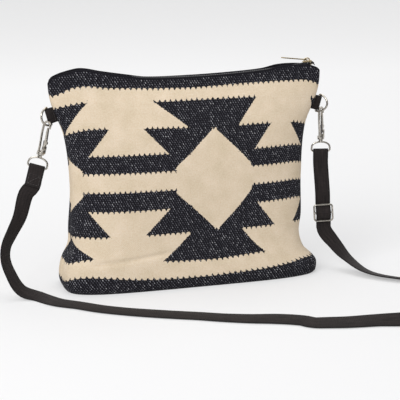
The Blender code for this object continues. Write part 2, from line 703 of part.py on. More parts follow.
def thickened(path, thick):
    """The closed outline of a band of even thickness along a flat path."""
    normals = []
    for i in range(len(path)):
        (x0, y0), (x1, y1) = path[max(i - 1, 0)], path[min(i + 1, len(path) - 1)]
        long = math.hypot(x1 - x0, y1 - y0)
        normals.append(((y0 - y1) / long, (x1 - x0) / long))
    one = [(x + nx * thick / 2, y + ny * thick / 2) for (x, y), (nx, ny) in zip(path, normals)]
    other = [(x - nx * thick / 2, y - ny * thick / 2) for (x, y), (nx, ny) in zip(path, normals)]
    return one + other[::-1]


def ring_point(angle):
    return Vector((RING_REACH * math.cos(angle), 0.0, RING_HALF_HEIGHT * math.sin(angle)))


def ring_frame(side):
    """The tab's frame, swung round the bar towards the front."""
    swing = -side_sign(side) * RING_SWING[side]
    return tab_frame(side) @ Matrix.Rotation(swing, 4, "Z")


def d_ring(side):
    """A bent and welded wire ring; its straight bar turns in the tab."""
    hub = joint_empty(side + "_ring_axis", ring_frame(side))
    steps = 14
    points = [ring_point(math.radians(-88 + 176 * i / steps)) for i in range(steps + 1)]
    corner = RING_HALF_HEIGHT - RING_WIRE / 2
    points += [Vector((0, 0, corner)), Vector((0, 0, -corner))]
    wire(side + "_d_ring", points, RING_WIRE, NICKEL, hub, cyclic=True)


def hook_frame(side):
    """Where the hook hangs on the ring: local Z up along the hook, local X across its jaw."""
    ring = ring_frame(side)
    hang = ring @ ring_point(HANG_ANGLE)
    along = Vector((-RING_REACH * math.sin(HANG_ANGLE), 0.0, RING_HALF_HEIGHT * math.cos(HANG_ANGLE)))
    tangent = ring.to_3x3() @ along
    tilt = HOOK_TILT[side]
    up = Vector((math.sin(tilt), 0, math.cos(tilt)))
    return frame_matrix(hang, up.cross(tangent), up)


def hook_body(side, hub):
    """The cast hook: a bow and spine, a nose, two lugs for the gate, and the collar that the eye turns in."""
    spine_foot = COLLAR_RADIUS - HOOK_WIRE * 0.6
    bow = JAW_HALF + HOOK_WIRE
    path = [(-spine_foot, 0, COLLAR_TOP - COLLAR_THICK / 2), (-spine_foot, 0, COLLAR_TOP + SPINE_NARROW)]
    path += [(-bow, 0, SPINE_SPLAY), (-bow, 0, BOW_FOOT)]
    for i in range(1, 8):
        angle = math.radians(180 - 180 * i / 8)
        path.append((bow * math.cos(angle), 0, BOW_FOOT + bow * BOW_FLATNESS * math.sin(angle)))
    path += [(bow, 0, BOW_FOOT), (bow, 0, NOSE_END)]
    body = wire(side + "_hook", path, HOOK_WIRE, NICKEL, hub, fineness=1)
    foot = COLLAR_TOP - COLLAR_THICK
    collar = rod(side + "_collar", COLLAR_RADIUS, (0, 0, foot), (0, 0, COLLAR_TOP), NICKEL, hub, cutters, 16)
    lugs = box(
        side + "_lugs", (PIVOT_U - LUG_HALF_LENGTH, -LUG_HALF_THICK, COLLAR_TOP - COLLAR_THICK / 2),
        (PIVOT_U + LUG_HALF_LENGTH, LUG_HALF_THICK, LUG_TOP), NICKEL, hub, cutters,
    )
    slot = box(
        side + "_lug_slot", (PIVOT_U - 2 * LUG_HALF_LENGTH, -LUG_SLOT_HALF, LUG_FLOOR),
        (PIVOT_U + 2 * LUG_HALF_LENGTH, LUG_SLOT_HALF, LUG_TOP + MM), NICKEL, hub, cutters,
    )
    bore = rod(
        side + "_collar_bore", POST_RADIUS + GAP, (0, 0, foot - MM), (0, 0, COLLAR_TOP + MM),
        NICKEL, hub, cutters,
    )
    pin_hole = rod(
        side + "_pin_hole", PIN_RADIUS + GAP, (PIVOT_U, -2 * LUG_HALF_THICK, PIVOT_W),
        (PIVOT_U, 2 * LUG_HALF_THICK, PIVOT_W), NICKEL, hub, cutters, 8,
    )
    for tool in (collar, lugs):
        combine(body, tool, "UNION")
    for tool in (slot, bore, pin_hole):
        combine(body, tool, "DIFFERENCE")
    reach = LUG_HALF_THICK + GAP
    rod(side + "_gate_pin", PIN_RADIUS, (PIVOT_U, -reach, PIVOT_W), (PIVOT_U, reach, PIVOT_W), SPRING_STEEL,
        hub, sides=8)
    near = PIVOT_U - LUG_HALF_LENGTH - GAP - SPRING_THICK
    spring_foot, free_end = LUG_FLOOR + 2 * GAP, LUG_TOP + SPRING_REACH
    line = ((near, spring_foot), (near, LUG_TOP), (near - SPRING_LEAN, free_end))
    leaf = list(line) + [(x + SPRING_THICK, z) for x, z in reversed(line)]
    extruded(side + "_gate_spring", leaf, -SPRING_HALF_WIDTH, SPRING_HALF_WIDTH, SPRING_STEEL, hub, axis="y")


def gate(side, hub):
    """The sprung gate: it turns inward on its pin, and its end shuts behind the nose."""
    pivot = joint_empty(side + "_gate_axis", hub.matrix_world @ Matrix.Translation((PIVOT_U, 0, PIVOT_W)))
    top = GATE_TOP - PIVOT_W
    under_nose = NOSE_END - GAP - PIVOT_W
    tip_outer = JAW_HALF - PIVOT_U - GAP
    stud_top = STUD_FOOT + STUD_TALL
    slope = STUD_TALL / 4
    outline = []
    for i in range(7):
        angle = math.radians(150 + 240 * i / 6)
        outline.append((GATE_EYE * math.cos(angle), GATE_EYE * math.sin(angle)))
    outline += [
        (GATE_EYE, STUD_FOOT), (GATE_EYE + STUD_PROUD, STUD_FOOT + slope),
        (GATE_EYE + STUD_PROUD, stud_top - slope), (GATE_EYE, stud_top),
        (tip_outer + GATE_TIP / 2, under_nose - GATE_TIP / 2), (tip_outer, under_nose), (tip_outer, top),
        (tip_outer - GATE_TIP, top), (tip_outer - GATE_TIP, top - STUD_TALL), (-GATE_EYE, stud_top),
    ]
    made = extruded(side + "_gate", outline, -GATE_HALF_THICK, GATE_HALF_THICK, NICKEL, pivot, axis="y")
    hole_start, hole_end = (0, -2 * GATE_HALF_THICK, 0), (0, 2 * GATE_HALF_THICK, 0)
    hole = rod(side + "_gate_hole", PIN_RADIUS + GAP, hole_start, hole_end, NICKEL, pivot, cutters, 8)
    combine(made, hole, "DIFFERENCE")


def eye_frame(side):
    """The swivel eye's frame: local Z along the hook, local X along the eye's bar, origin on the bar."""
    hook = hook_frame(side)
    up = hook.to_3x3() @ Vector((0, 0, 1))
    facing = Vector((math.cos(STRAP_FACING), math.sin(STRAP_FACING), 0))
    return frame_matrix(hook @ Vector((0, 0, EYE_BAR)), facing, up)


def swivel_eye(side):
    """A riveted post turns in the hook's collar and carries the loop that the strap is sewn round."""
    hub = joint_empty(side + "_eye_axis", eye_frame(side))
    points = []
    for i in range(11):
        angle = math.pi * i / 10
        rise = EYE_ARCH * math.sin(angle) ** 0.8
        points.append((EYE_HALF_WIDTH * math.cos(angle), 0, EYE_HEIGHT - EYE_ARCH + rise))
    points += [(-EYE_HALF_WIDTH, 0, EYE_CORNER), (-EYE_HALF_WIDTH + EYE_CORNER, 0, 0),
               (EYE_HALF_WIDTH - EYE_CORNER, 0, 0), (EYE_HALF_WIDTH, 0, EYE_CORNER)]
    body = wire(side + "_swivel_eye", points, EYE_WIRE, NICKEL, hub, cyclic=True)
    shoulder_top = COLLAR_TOP - COLLAR_THICK - EYE_BAR - GAP
    shoulder = rod(side + "_post_shoulder", SHOULDER_RADIUS, (0, 0, EYE_HEIGHT - EYE_WIRE / 2),
                   (0, 0, shoulder_top), NICKEL, hub, cutters)
    head_foot = COLLAR_TOP - EYE_BAR + GAP
    head_top = head_foot + POST_HEAD_THICK
    post = rod(side + "_post", POST_RADIUS, (0, 0, shoulder_top - MM), (0, 0, head_top - POST_HEAD_THICK / 2),
               NICKEL, hub, cutters)
    head = rod(side + "_post_head", POST_HEAD_RADIUS, (0, 0, head_foot), (0, 0, head_top), NICKEL, hub,
               cutters)
    for piece in (shoulder, post, head):
        combine(body, piece, "UNION")


def adjuster_frame():
    """The slide adjuster's frame: local Z up along the doubled webbing, local X across it."""
    eye = eye_frame("right")
    start = eye.translation
    below = Vector(RIGHT_HANG[-1]) * MM
    up = (start - below).normalized()
    facing = eye.to_3x3() @ Vector((1, 0, 0))
    return frame_matrix(start - up * ADJUSTER_DOWN, facing, up)


def slide_adjuster():
    """A bent wire frame with a bar across its middle."""
    hub = joint_empty("adjuster_place", adjuster_frame())
    points = []
    for turn, (corner_x, corner_z) in enumerate(((1, 1), (-1, 1), (-1, -1), (1, -1))):
        for i in range(4):
            angle = math.pi / 2 * (turn + i / 3)
            x = corner_x * (ADJUSTER_HALF_WIDTH - ADJUSTER_ROUND) + ADJUSTER_ROUND * math.cos(angle)
            z = corner_z * (ADJUSTER_HALF_HEIGHT - ADJUSTER_ROUND) + ADJUSTER_ROUND * math.sin(angle)
            points.append((x, 0, z))
    frame = wire("slide_adjuster", points, ADJUSTER_WIRE, NICKEL, hub, cyclic=True)
    bar = rod("adjuster_bar", ADJUSTER_WIRE * 0.9, (-ADJUSTER_HALF_WIDTH, 0, 0), (ADJUSTER_HALF_WIDTH, 0, 0),
              NICKEL, hub, cutters, 8)
    combine(frame, bar, "UNION")


def looped(frame, pairs, facing):
    """Points given as (away from the viewer, up) in a frame, each with the way the width points there."""
    across = frame.to_3x3() @ Vector((facing, 0, 0))
    return [(frame @ Vector((0, away, up)), across) for away, up in pairs]


def left_loop():
    """From the end of the sewn tail, up in front of the left eye's bar, over it and down behind."""
    turn = [(BAR_TO_WEBBING * math.cos(a), BAR_TO_WEBBING * math.sin(a)) for a in
            (math.radians(180 - 30 * i) for i in range(7))]
    near = [(-LAYER_OFFSET, -SEWN_TAIL), (-LAYER_OFFSET, -LOOP_END), (-LOOP_SPLAY, -LOOP_NECK)]
    far = [(-away, up) for away, up in reversed(near)]
    return looped(eye_frame("left"), near + turn + far, 1)


def right_loop():
    """Up through the adjuster, over the right eye's bar, and back down to the adjuster's own bar."""
    adjuster, eye = adjuster_frame(), eye_frame("right")
    step, edge = BAR_TO_WEBBING, ADJUSTER_HALF_HEIGHT
    behind, between = step + 0.5 * MM, WEBBING_THICK + 2 * GAP
    closing, closed = edge + LOOP_NECK + MM, edge + WEAVE_REACH
    up = [(behind, -edge), (-step * 0.7, -edge * 0.45), (-step - between, 0.0), (-step * 0.7, edge * 0.45),
          (behind, edge), (GAP, closing), (-LAYER_OFFSET, closed)]
    turn = [(step * math.cos(a), step * math.sin(a)) for a in (math.radians(180 - 30 * i) for i in range(7))]
    near = [(-LAYER_OFFSET, -LOOP_END), (-LOOP_SPLAY, -LOOP_NECK)]
    far = [(-away, rise) for away, rise in reversed(near)]
    down = [(LAYER_OFFSET, closed), (GAP + between, closing), (behind + between, edge),
            (step + 0.8 * MM, edge / 2), (step, 0.8 * MM)]
    wrap = [(step * math.cos(a), step * math.sin(a)) for a in (math.radians(-30 - 40 * i) for i in range(4))]
    return looped(adjuster, up, -1) + looped(eye, near + turn + far, -1) + looped(adjuster, down + wrap, -1)


def floor_points():
    """The floor run, each with the height that its lean gives, and the way its width points."""
    found = []
    for i, (x, y, lean) in enumerate(FLOOR_RUN):
        before, after = FLOOR_RUN[max(i - 1, 0)], FLOOR_RUN[min(i + 1, len(FLOOR_RUN) - 1)]
        along = Vector((after[0] - before[0], after[1] - before[1], 0)).normalized()
        level = Vector((-along.y, along.x, 0))
        angle = math.radians(lean)
        rise = WEBBING_WIDTH / 2 * math.sin(angle) + WEBBING_THICK / 2 * math.cos(angle) + FLOOR_CLEARANCE
        across = level * math.cos(angle) + Vector((0, 0, math.sin(angle)))
        found.append((Vector((x * MM, y * MM, rise)), across))
    return found


def strap_route():
    """The webbing's centreline with the direction of its width at each point."""
    route = left_loop()
    left_across = route[-1][1]
    ground = floor_points()
    doubled = right_loop()
    right_across = doubled[0][1]
    for i, point in enumerate(LEFT_HANG):
        share = ((i + 1) / (len(LEFT_HANG) + 1)) ** 2
        route.append((Vector(point) * MM, left_across.lerp(ground[0][1], share)))
    route += ground
    for i, point in enumerate(RIGHT_HANG):
        share = (i + 1) / len(RIGHT_HANG)
        route.append((Vector(point) * MM, ground[-1][1].lerp(right_across, share)))
    return route + doubled


def smooth_between(route, step):
    """Extra points on a smooth curve through the route's own points, about a step apart."""
    found = []
    last = len(route) - 1
    for i in range(last):
        p0, p1, p2, p3 = (route[min(max(k, 0), last)][0] for k in (i - 1, i, i + 1, i + 2))
        pieces = max(1, round((p2 - p1).length / step))
        span = (p2 - p1).length
        m1 = (p2 - p0) * (span / max((p2 - p0).length, span * 0.5)) if i else p2 - p1
        m2 = (p3 - p1) * (span / max((p3 - p1).length, span * 0.5)) if i + 2 <= last else p2 - p1
        for k in range(pieces):
            t = k / pieces
            place_at = (
                p1 * (2 * t**3 - 3 * t**2 + 1) + m1 * (t**3 - 2 * t**2 + t)
                + p2 * (3 * t**2 - 2 * t**3) + m2 * (t**3 - t**2)
            )
            found.append((place_at, route[i][1].lerp(route[i + 1][1], t)))
    found.append(route[-1])
    return found


def strap():
    """One length of flat webbing, swept as a thin band."""
    route = smooth_between(strap_route(), WEBBING_WIDTH)
    shape = bmesh.new()
    rings = []
    for i, (point, across) in enumerate(route):
        along = (route[min(i + 1, len(route) - 1)][0] - route[max(i - 1, 0)][0]).normalized()
        wide = (across - across.dot(along) * along).normalized() * (WEBBING_WIDTH / 2)
        thick = along.cross(wide).normalized() * (WEBBING_THICK / 2)
        corners = ((-1, -1), (1, -1), (1, 1), (-1, 1))
        rings.append([shape.verts.new(point + a * wide + b * thick) for a, b in corners])
    for low, high in zip(rings, rings[1:]):
        for i in range(4):
            j = (i + 1) % 4
            shape.faces.new((low[i], low[j], high[j], high[i]))
    shape.faces.new(rings[0])
    shape.faces.new(rings[-1])
    bmesh.ops.recalc_face_normals(shape, faces=shape.faces)
    mesh_object("strap_webbing", shape, BLACK_WEBBING)


woven_shell()
lining()
for panel, way in (("front", 1), ("back", -1)):
    zip_tape("zip_tape_" + panel, way)
    zip_comb("zip_comb_" + panel, way)
zip_stop("zip_stop_bottom", ZIP_LEFT - STOP_LENGTH / 2 - GAP, -SPINE_OUT, SPINE_OUT)
top_stop_at = SLIDER_AT + SLIDER_LENGTH / 2 + GAP + STOP_LENGTH / 2
zip_stop("zip_stop_top_front", top_stop_at, -SPINE_OUT, -TOP_STOP_INNER)
zip_stop("zip_stop_top_back", top_stop_at, TOP_STOP_INNER, SPINE_OUT)
zip_slider()
for hand in ("left", "right"):
    side_tab(hand)
    d_ring(hand)
    hook = joint_empty(hand + "_hook_axis", hook_frame(hand))
    hook_body(hand, hook)
    gate(hand, hook)
    swivel_eye(hand)
slide_adjuster()
strap()
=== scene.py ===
import json
import math

import bmesh
import bpy
from mathutils import Matrix, Vector, noise

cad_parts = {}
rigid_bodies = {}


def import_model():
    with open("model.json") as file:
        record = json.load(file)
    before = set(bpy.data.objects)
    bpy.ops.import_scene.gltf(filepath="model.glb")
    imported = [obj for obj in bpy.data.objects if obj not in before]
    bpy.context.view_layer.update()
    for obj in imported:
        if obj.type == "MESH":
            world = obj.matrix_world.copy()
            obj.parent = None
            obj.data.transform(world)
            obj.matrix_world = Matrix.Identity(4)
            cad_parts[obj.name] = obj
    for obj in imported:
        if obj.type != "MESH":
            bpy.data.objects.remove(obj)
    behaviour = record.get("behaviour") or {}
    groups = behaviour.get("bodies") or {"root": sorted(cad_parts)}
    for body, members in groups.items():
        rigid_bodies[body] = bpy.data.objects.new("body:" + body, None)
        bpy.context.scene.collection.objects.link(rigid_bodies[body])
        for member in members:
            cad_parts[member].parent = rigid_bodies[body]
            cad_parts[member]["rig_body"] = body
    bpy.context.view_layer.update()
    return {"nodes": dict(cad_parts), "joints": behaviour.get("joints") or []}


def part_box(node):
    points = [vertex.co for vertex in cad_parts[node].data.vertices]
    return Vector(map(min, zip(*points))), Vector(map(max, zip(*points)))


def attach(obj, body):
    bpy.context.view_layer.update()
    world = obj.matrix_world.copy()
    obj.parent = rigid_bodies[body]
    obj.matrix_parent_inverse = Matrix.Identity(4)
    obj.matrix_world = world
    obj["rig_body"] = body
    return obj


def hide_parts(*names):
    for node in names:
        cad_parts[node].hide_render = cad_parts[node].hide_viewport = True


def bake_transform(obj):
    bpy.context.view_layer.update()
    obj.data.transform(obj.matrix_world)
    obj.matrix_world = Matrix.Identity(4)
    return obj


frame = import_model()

MM = 0.001

# The camera stands where the photograph was taken from: low, a little left of the bag's front, with a
# long lens. The colours are shown as they are written.
scene = bpy.context.scene
scene.view_settings.view_transform = "Standard"
AZIMUTH = math.radians(-16.7)
ELEVATION = math.radians(14)
DISTANCE = 1200 * MM
LOOKS_AT = Vector((12.5, 0.0, 78.0)) * MM
lens = bpy.data.cameras.new("camera")
lens.sensor_width = 36.0
lens.lens = 108.45
lens.clip_end = 20.0
camera = bpy.data.objects.new("camera", lens)
scene.collection.objects.link(camera)
towards = Vector((math.sin(AZIMUTH) * math.cos(ELEVATION), -math.cos(AZIMUTH) * math.cos(ELEVATION),
                  math.sin(ELEVATION)))
camera.location = LOOKS_AT + towards * DISTANCE
camera.rotation_euler = towards.to_track_quat("Z", "Y").to_euler()
scene.camera = camera


# A pale matt studio sweep of painted paper, floor and wall in one curved sheet. The camera and the metal see
# it almost white, whiter further back, and it still takes the bag's soft shadow.
def linear(hex_colour):
    """An sRGB hex colour as linear red, green, blue and alpha."""
    parts = [int(hex_colour[i:i + 2], 16) / 255 for i in (1, 3, 5)]
    return (*(c / 12.92 if c <= 0.04045 else ((c + 0.055) / 1.055) ** 2.4 for c in parts), 1.0)


def new_material(name, roughness, **others):
    """A material and its node tree, with its Principled shader."""
    made = bpy.data.materials.new(name)
    made.use_nodes = True
    shader = made.node_tree.nodes["Principled BSDF"]
    shader.inputs["Roughness"].default_value = roughness
    for socket, value in others.items():
        shader.inputs[socket.replace("_", " ")].default_value = value
    return made, made.node_tree, shader


def add(tree, kind, feeds, ramp=(), **settings):
    """A node with its settings, the places and colours of its ramp, and what goes into each of its inputs: a
    value, another node or one of another's outputs."""
    made = tree.nodes.new(kind)
    for name, value in settings.items():
        setattr(made, name, value)
    for number, (position, hex_colour) in enumerate(ramp):
        stops = made.color_ramp.elements
        stop = stops[number] if number < len(stops) else stops.new(position)
        stop.position = position
        stop.color = linear(hex_colour)
    for name, value in feeds.items():
        if isinstance(value, bpy.types.Node):
            value = value.outputs[0]
        if isinstance(value, bpy.types.NodeSocket):
            tree.links.new(value, made.inputs[name])
        else:
            made.inputs[name].default_value = value
    return made


def link_object(name, data):
    """An object in the scene, made from its mesh, curve or lamp data."""
    made = bpy.data.objects.new(name, data)
    scene.collection.objects.link(made)
    return made


SWEEP_HALF = 5.0
SWEEP_FRONT = -5.0
SWEEP_BACK = 3.8
SWEEP_TURN = 0.8
SWEEP_TURN_STEPS = 12
SWEEP_TOP = 4.0
NEAR_GLOW = 0.405
FAR_GLOW = 0.57
FAR_AWAY = 1.3
profile = [(SWEEP_FRONT, 0.0), (SWEEP_BACK, 0.0)]
for i in range(1, SWEEP_TURN_STEPS + 1):
    turn = math.pi / 2 * i / SWEEP_TURN_STEPS
    profile.append((SWEEP_BACK + SWEEP_TURN * math.sin(turn), SWEEP_TURN * (1 - math.cos(turn))))
profile.append((SWEEP_BACK + SWEEP_TURN, SWEEP_TOP))
sweep_mesh = bpy.data.meshes.new("paper_sweep")
sweep_mesh.from_pydata(
    [(x, y, z) for y, z in profile for x in (-SWEEP_HALF, SWEEP_HALF)], [],
    [(2 * i, 2 * i + 1, 2 * i + 3, 2 * i + 2) for i in range(len(profile) - 1)])
sweep_mesh.shade_smooth()
sweep = link_object("paper_sweep", sweep_mesh)
paper, tree, shader = new_material("matt_white_paper", 0.95, Specular_IOR_Level=0.1)
shader.inputs["Base Color"].default_value = linear("#b9b9ba")
ray = add(tree, "ShaderNodeLightPath", {})
seen = add(tree, "ShaderNodeMath", {0: ray.outputs["Is Camera Ray"], 1: ray.outputs["Is Glossy Ray"]},
           operation="MAXIMUM")
seen = add(tree, "ShaderNodeMath", {0: seen, 1: ray.outputs["Is Transmission Ray"]}, operation="MAXIMUM")
away = add(tree, "ShaderNodeTexCoord", {}).outputs["Object"]
away = add(tree, "ShaderNodeSeparateXYZ", {0: away}).outputs["Y"]
level = add(tree, "ShaderNodeMapRange", {"Value": away, "From Max": FAR_AWAY, "To Min": NEAR_GLOW,
                                         "To Max": FAR_GLOW})
strength = add(tree, "ShaderNodeMath", {0: seen, 1: level}, operation="MULTIPLY")
glow = add(tree, "ShaderNodeEmission", {"Color": linear("#ffffff"), "Strength": strength})
both = add(tree, "ShaderNodeAddShader", {0: shader, 1: glow})
tree.links.new(both.outputs[0], tree.nodes["Material Output"].inputs["Surface"])
sweep_mesh.materials.append(paper)

# Soft studio light from three softboxes and a pale room. The camera and the metal see the room white too.
# A black card on each side of the camera, which only the metal sees, draws the dark lines along its edges.
ROOM_STRENGTH = 0.5
ROOM_SEEN = 0.98
world = bpy.data.worlds.new("studio")
scene.world = world
world.use_nodes = True
tree = world.node_tree
ray = add(tree, "ShaderNodeLightPath", {})
seen = add(tree, "ShaderNodeMath", {0: ray.outputs["Is Camera Ray"], 1: ray.outputs["Is Glossy Ray"]},
           operation="MAXIMUM")
strength = add(tree, "ShaderNodeMapRange", {"Value": seen, "To Min": ROOM_STRENGTH, "To Max": ROOM_SEEN})
room = tree.nodes["Background"]
room.inputs["Color"].default_value = linear("#ffffff")
tree.links.new(strength.outputs[0], room.inputs["Strength"])


def soft_lamp(name, place, size, power):
    """A square softbox that faces the bag."""
    data = bpy.data.lights.new(name, "AREA")
    data.size = size
    data.energy = power
    made = link_object(name, data)
    made.location = place
    made.rotation_euler = (Vector(place) - LOOKS_AT).to_track_quat("Z", "Y").to_euler()


soft_lamp("key_softbox", (-1.3, -1.05, 1.15), size=1.3, power=25)
soft_lamp("fill_softbox", (1.3, -1.3, 0.8), size=1.2, power=6)
soft_lamp("top_softbox", (0.2, 0.5, 1.7), size=1.2, power=9)

CARD_HALF = 0.55
black_card, tree, shader = new_material("black_flocked_card", 1.0, Specular_IOR_Level=0.0)
shader.inputs["Base Color"].default_value = linear("#101010")
for side, place in (("left", (-1.25, -0.75, 0.5)), ("right", (0.32, -0.57, 0.2))):
    card_mesh = bpy.data.meshes.new(side + "_black_card")
    card_mesh.from_pydata([(x, y, 0.0) for x, y in ((-1, -1), (1, -1), (1, 1), (-1, 1))], [], [(0, 1, 2, 3)])
    card_mesh.transform(Matrix.Scale(CARD_HALF, 4))
    card_mesh.materials.append(black_card)
    card = link_object(side + "_black_card", card_mesh)
    card.location = place
    card.rotation_euler = (Vector(place) - LOOKS_AT).to_track_quat("Z", "Y").to_euler()
    card.visible_camera = card.visible_diffuse = card.visible_shadow = False

# The slide adjuster: steel wire bent to a frame, with a bar welded across it, nickel plated. Plating leaves
# the metal bright, but faintly dappled, with blurred highlights and every weld and edge rounded. The real
# dapples are about 0.3 mm wide; they are drawn 1.4 mm wide, or they would not show.
DAPPLE = 1.4286 * MM
nickel, tree, shader = new_material("nickel_plated_steel", 0.2, Metallic=1.0)
place = add(tree, "ShaderNodeTexCoord", {}).outputs["Object"]
dapple = add(tree, "ShaderNodeTexNoise", {"Vector": place, "Scale": 1 / DAPPLE, "Detail": 3.0})
tone = add(tree, "ShaderNodeValToRGB", {"Fac": dapple}, ramp=((0.35, "#a8a29a"), (0.68, "#cbc6bd")))
tree.links.new(tone.outputs[0], shader.inputs["Base Color"])
haze = add(tree, "ShaderNodeMapRange", {"Value": dapple, "To Min": 0.12, "To Max": 0.22})
tree.links.new(haze.outputs[0], shader.inputs["Roughness"])
peel = add(tree, "ShaderNodeBump", {"Height": dapple, "Distance": 0.03 * MM, "Strength": 0.12})
tree.links.new(peel.outputs[0], shader.inputs["Normal"])


def tumbled(node, name, metal, grain, rounds):
    """A fine skin over one of the frame's metal pieces, its edges rounded as tumbling leaves them."""
    made = link_object(name, frame["nodes"][node].data.copy())
    made.data.materials.clear()
    made.data.materials.append(metal)
    skin = made.modifiers.new("fine_skin", "REMESH")
    skin.mode = "VOXEL"
    skin.voxel_size = grain
    skin.use_smooth_shade = True
    rounding = made.modifiers.new("tumbled_edges", "SMOOTH")
    rounding.factor = 0.5
    rounding.iterations = rounds
    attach(made, frame["nodes"][node]["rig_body"])
    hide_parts(node)
    return made


adjuster = tumbled("slide_adjuster", "wire_slide_adjuster", nickel, grain=0.22 * MM, rounds=5)

# The strap: one length of 15 mm black webbing, woven of cotton and polyester. One end is sewn round the left
# swivel eye, the other runs through the slide adjuster, round the right eye and back to the adjuster's bar.
WEBBING_WIDTH = 15 * MM
WEBBING_THICK = 1.2 * MM
EYE_WIRE = 1.0 * MM
WIRE_CLEARANCE = 0.4 * MM
BAR_TO_WEBBING = EYE_WIRE + WIRE_CLEARANCE + WEBBING_THICK / 2
LAYER_OFFSET = 1.0 * MM
SEWN_TAIL = 19 * MM
LOOP_SPLAY = 1.5 * MM
LOOP_NECK = 5 * MM
LOOP_END = 12 * MM
LOOP_LEG = [(-LAYER_OFFSET, -LOOP_END), (-LOOP_SPLAY, -LOOP_NECK)]
WEAVE_REACH = 14 * MM
ADJUSTER_HALF_HEIGHT = 8.4 * MM
BEHIND_FRAME = 0.5 * MM
WRAP_EASES = 0.8 * MM
GAP = 0.3 * MM
FLOOR_CLEARANCE = 0.5 * MM
# both eyes' bars hang square to the way that the camera looks
STRAP_FACING = Vector((math.cos(AZIMUTH), math.sin(AZIMUTH), 0.0))
# x, y and height in mm, and how far the webbing twists on its way down
LEFT_HANG = (
    (-161, -3, 97), (-168, -6, 76), (-176, -9, 62), (-182.5, -13, 51), (-184.5, -16, 40),
    (-182, -20, 28), (-172, -24, 9),
)
LEFT_TURN = math.radians(48)
# x and y in mm, and how far the webbing leans from flat towards its edge, in degrees
FLOOR_RUN = (
    (-157, -29, 14), (-142, -50, 9), (-124, -64, 7), (-106, -80, 7), (-85, -94, 7),
    (-64, -106, 8), (-42, -117, 8), (-25, -125, 8), (-7, -135, 9), (16, -146, 12),
    (39, -155, 16), (58, -165, 17), (66, -174, 18), (77, -178, 20), (97, -183, 22),
    (123, -187, 26), (145, -194, 36), (178, -200, 46), (212, -206, 52), (250, -212, 50),
    (292, -216, 46), (334, -213, 42), (370, -200, 36), (392, -174, 30), (393, -142, 26),
    (372, -118, 22), (338, -108, 20), (300, -106, 18), (262, -106, 16), (228, -95, 14), (197, -76, 12),
)
RIGHT_HANG = ((173, -52, 4.5), (162, -27, 12.5), (150.5, -15, 28), (142.5, -10, 40))
joints = {row["name"]: row for row in frame["joints"]}


def frame_matrix(origin, side, up):
    """A frame at origin with local Z along up, and local X as near to side as it can be."""
    z_axis = Vector(up).normalized()
    x_axis = (Vector(side) - Vector(side).dot(z_axis) * z_axis).normalized()
    turned = Matrix((x_axis, z_axis.cross(x_axis), z_axis)).transposed().to_4x4()
    turned.translation = origin
    return turned


def eye_frame(side):
    """The middle of an eye's bar: local Z along the hook, local X along the bar."""
    swivel = joints[side + "_eye_swivel"]
    return frame_matrix(swivel["pos_m"], STRAP_FACING, swivel["axis"])


def adjuster_frame():
    """The middle of the adjuster's bar: local Z up along the webbing, local X along the bar."""
    low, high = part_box("slide_adjuster")
    facing = eye_frame("right").to_3x3() @ Vector((1, 0, 0))
    return frame_matrix((low + high) / 2, facing, joints["adjuster_slide"]["axis"])


def looped(local, pairs, facing):
    """Points given as (away from the viewer, up) in a frame, each with the way the width points there."""
    across = local.to_3x3() @ Vector((facing, 0, 0))
    return [(local @ Vector((0, away, up)), across) for away, up in pairs]


def round_bar(start, step, count):
    """Places of the webbing's middle round a bar, from a start angle down in equal steps, in degrees."""
    angles = [math.radians(start - step * i) for i in range(count)]
    return [(BAR_TO_WEBBING * math.cos(angle), BAR_TO_WEBBING * math.sin(angle)) for angle in angles]


def left_loop():
    """From the end of the sewn tail, up in front of the left eye's bar, over it and down behind."""
    near = [(-LAYER_OFFSET, -SEWN_TAIL)] + LOOP_LEG
    far = [(-away, up) for away, up in reversed(near)]
    return looped(eye_frame("left"), near + round_bar(start=180, step=30, count=7) + far, 1)


def right_loop():
    """Up through the adjuster, over the right eye's bar, and back down to the adjuster's own bar."""
    local, eye = adjuster_frame(), eye_frame("right")
    step, edge = BAR_TO_WEBBING, ADJUSTER_HALF_HEIGHT
    behind, between = step + BEHIND_FRAME, WEBBING_THICK + 2 * GAP
    closing, closed = edge + LOOP_NECK + MM, edge + WEAVE_REACH
    up = [(behind, -edge), (-step * 0.7, -edge * 0.45), (-step - between, 0.0), (-step * 0.7, edge * 0.45),
          (behind, edge), (GAP, closing), (-LAYER_OFFSET, closed)]
    far = [(-away, rise) for away, rise in reversed(LOOP_LEG)]
    over = LOOP_LEG + round_bar(start=180, step=30, count=7) + far
    down = [(LAYER_OFFSET, closed), (GAP + between, closing), (behind + between, edge),
            (step + WRAP_EASES, edge / 2), (step, WRAP_EASES)]
    wrap = round_bar(start=-30, step=40, count=4)
    return looped(local, up, -1) + looped(eye, over, -1) + looped(local, down + wrap, -1)


def floor_points():
    """The floor run, each with the height that its lean gives, and the way its width points."""
    found = []
    for i, (x, y, lean) in enumerate(FLOOR_RUN):
        before, after = FLOOR_RUN[max(i - 1, 0)], FLOOR_RUN[min(i + 1, len(FLOOR_RUN) - 1)]
        along = Vector((after[0] - before[0], after[1] - before[1], 0)).normalized()
        level = Vector((-along.y, along.x, 0))
        angle = math.radians(lean)
        rise = WEBBING_WIDTH / 2 * math.sin(angle) + WEBBING_THICK / 2 * math.cos(angle) + FLOOR_CLEARANCE
        across = level * math.cos(angle) + Vector((0, 0, math.sin(angle)))
        found.append((Vector((x * MM, y * MM, rise)), across))
    return found


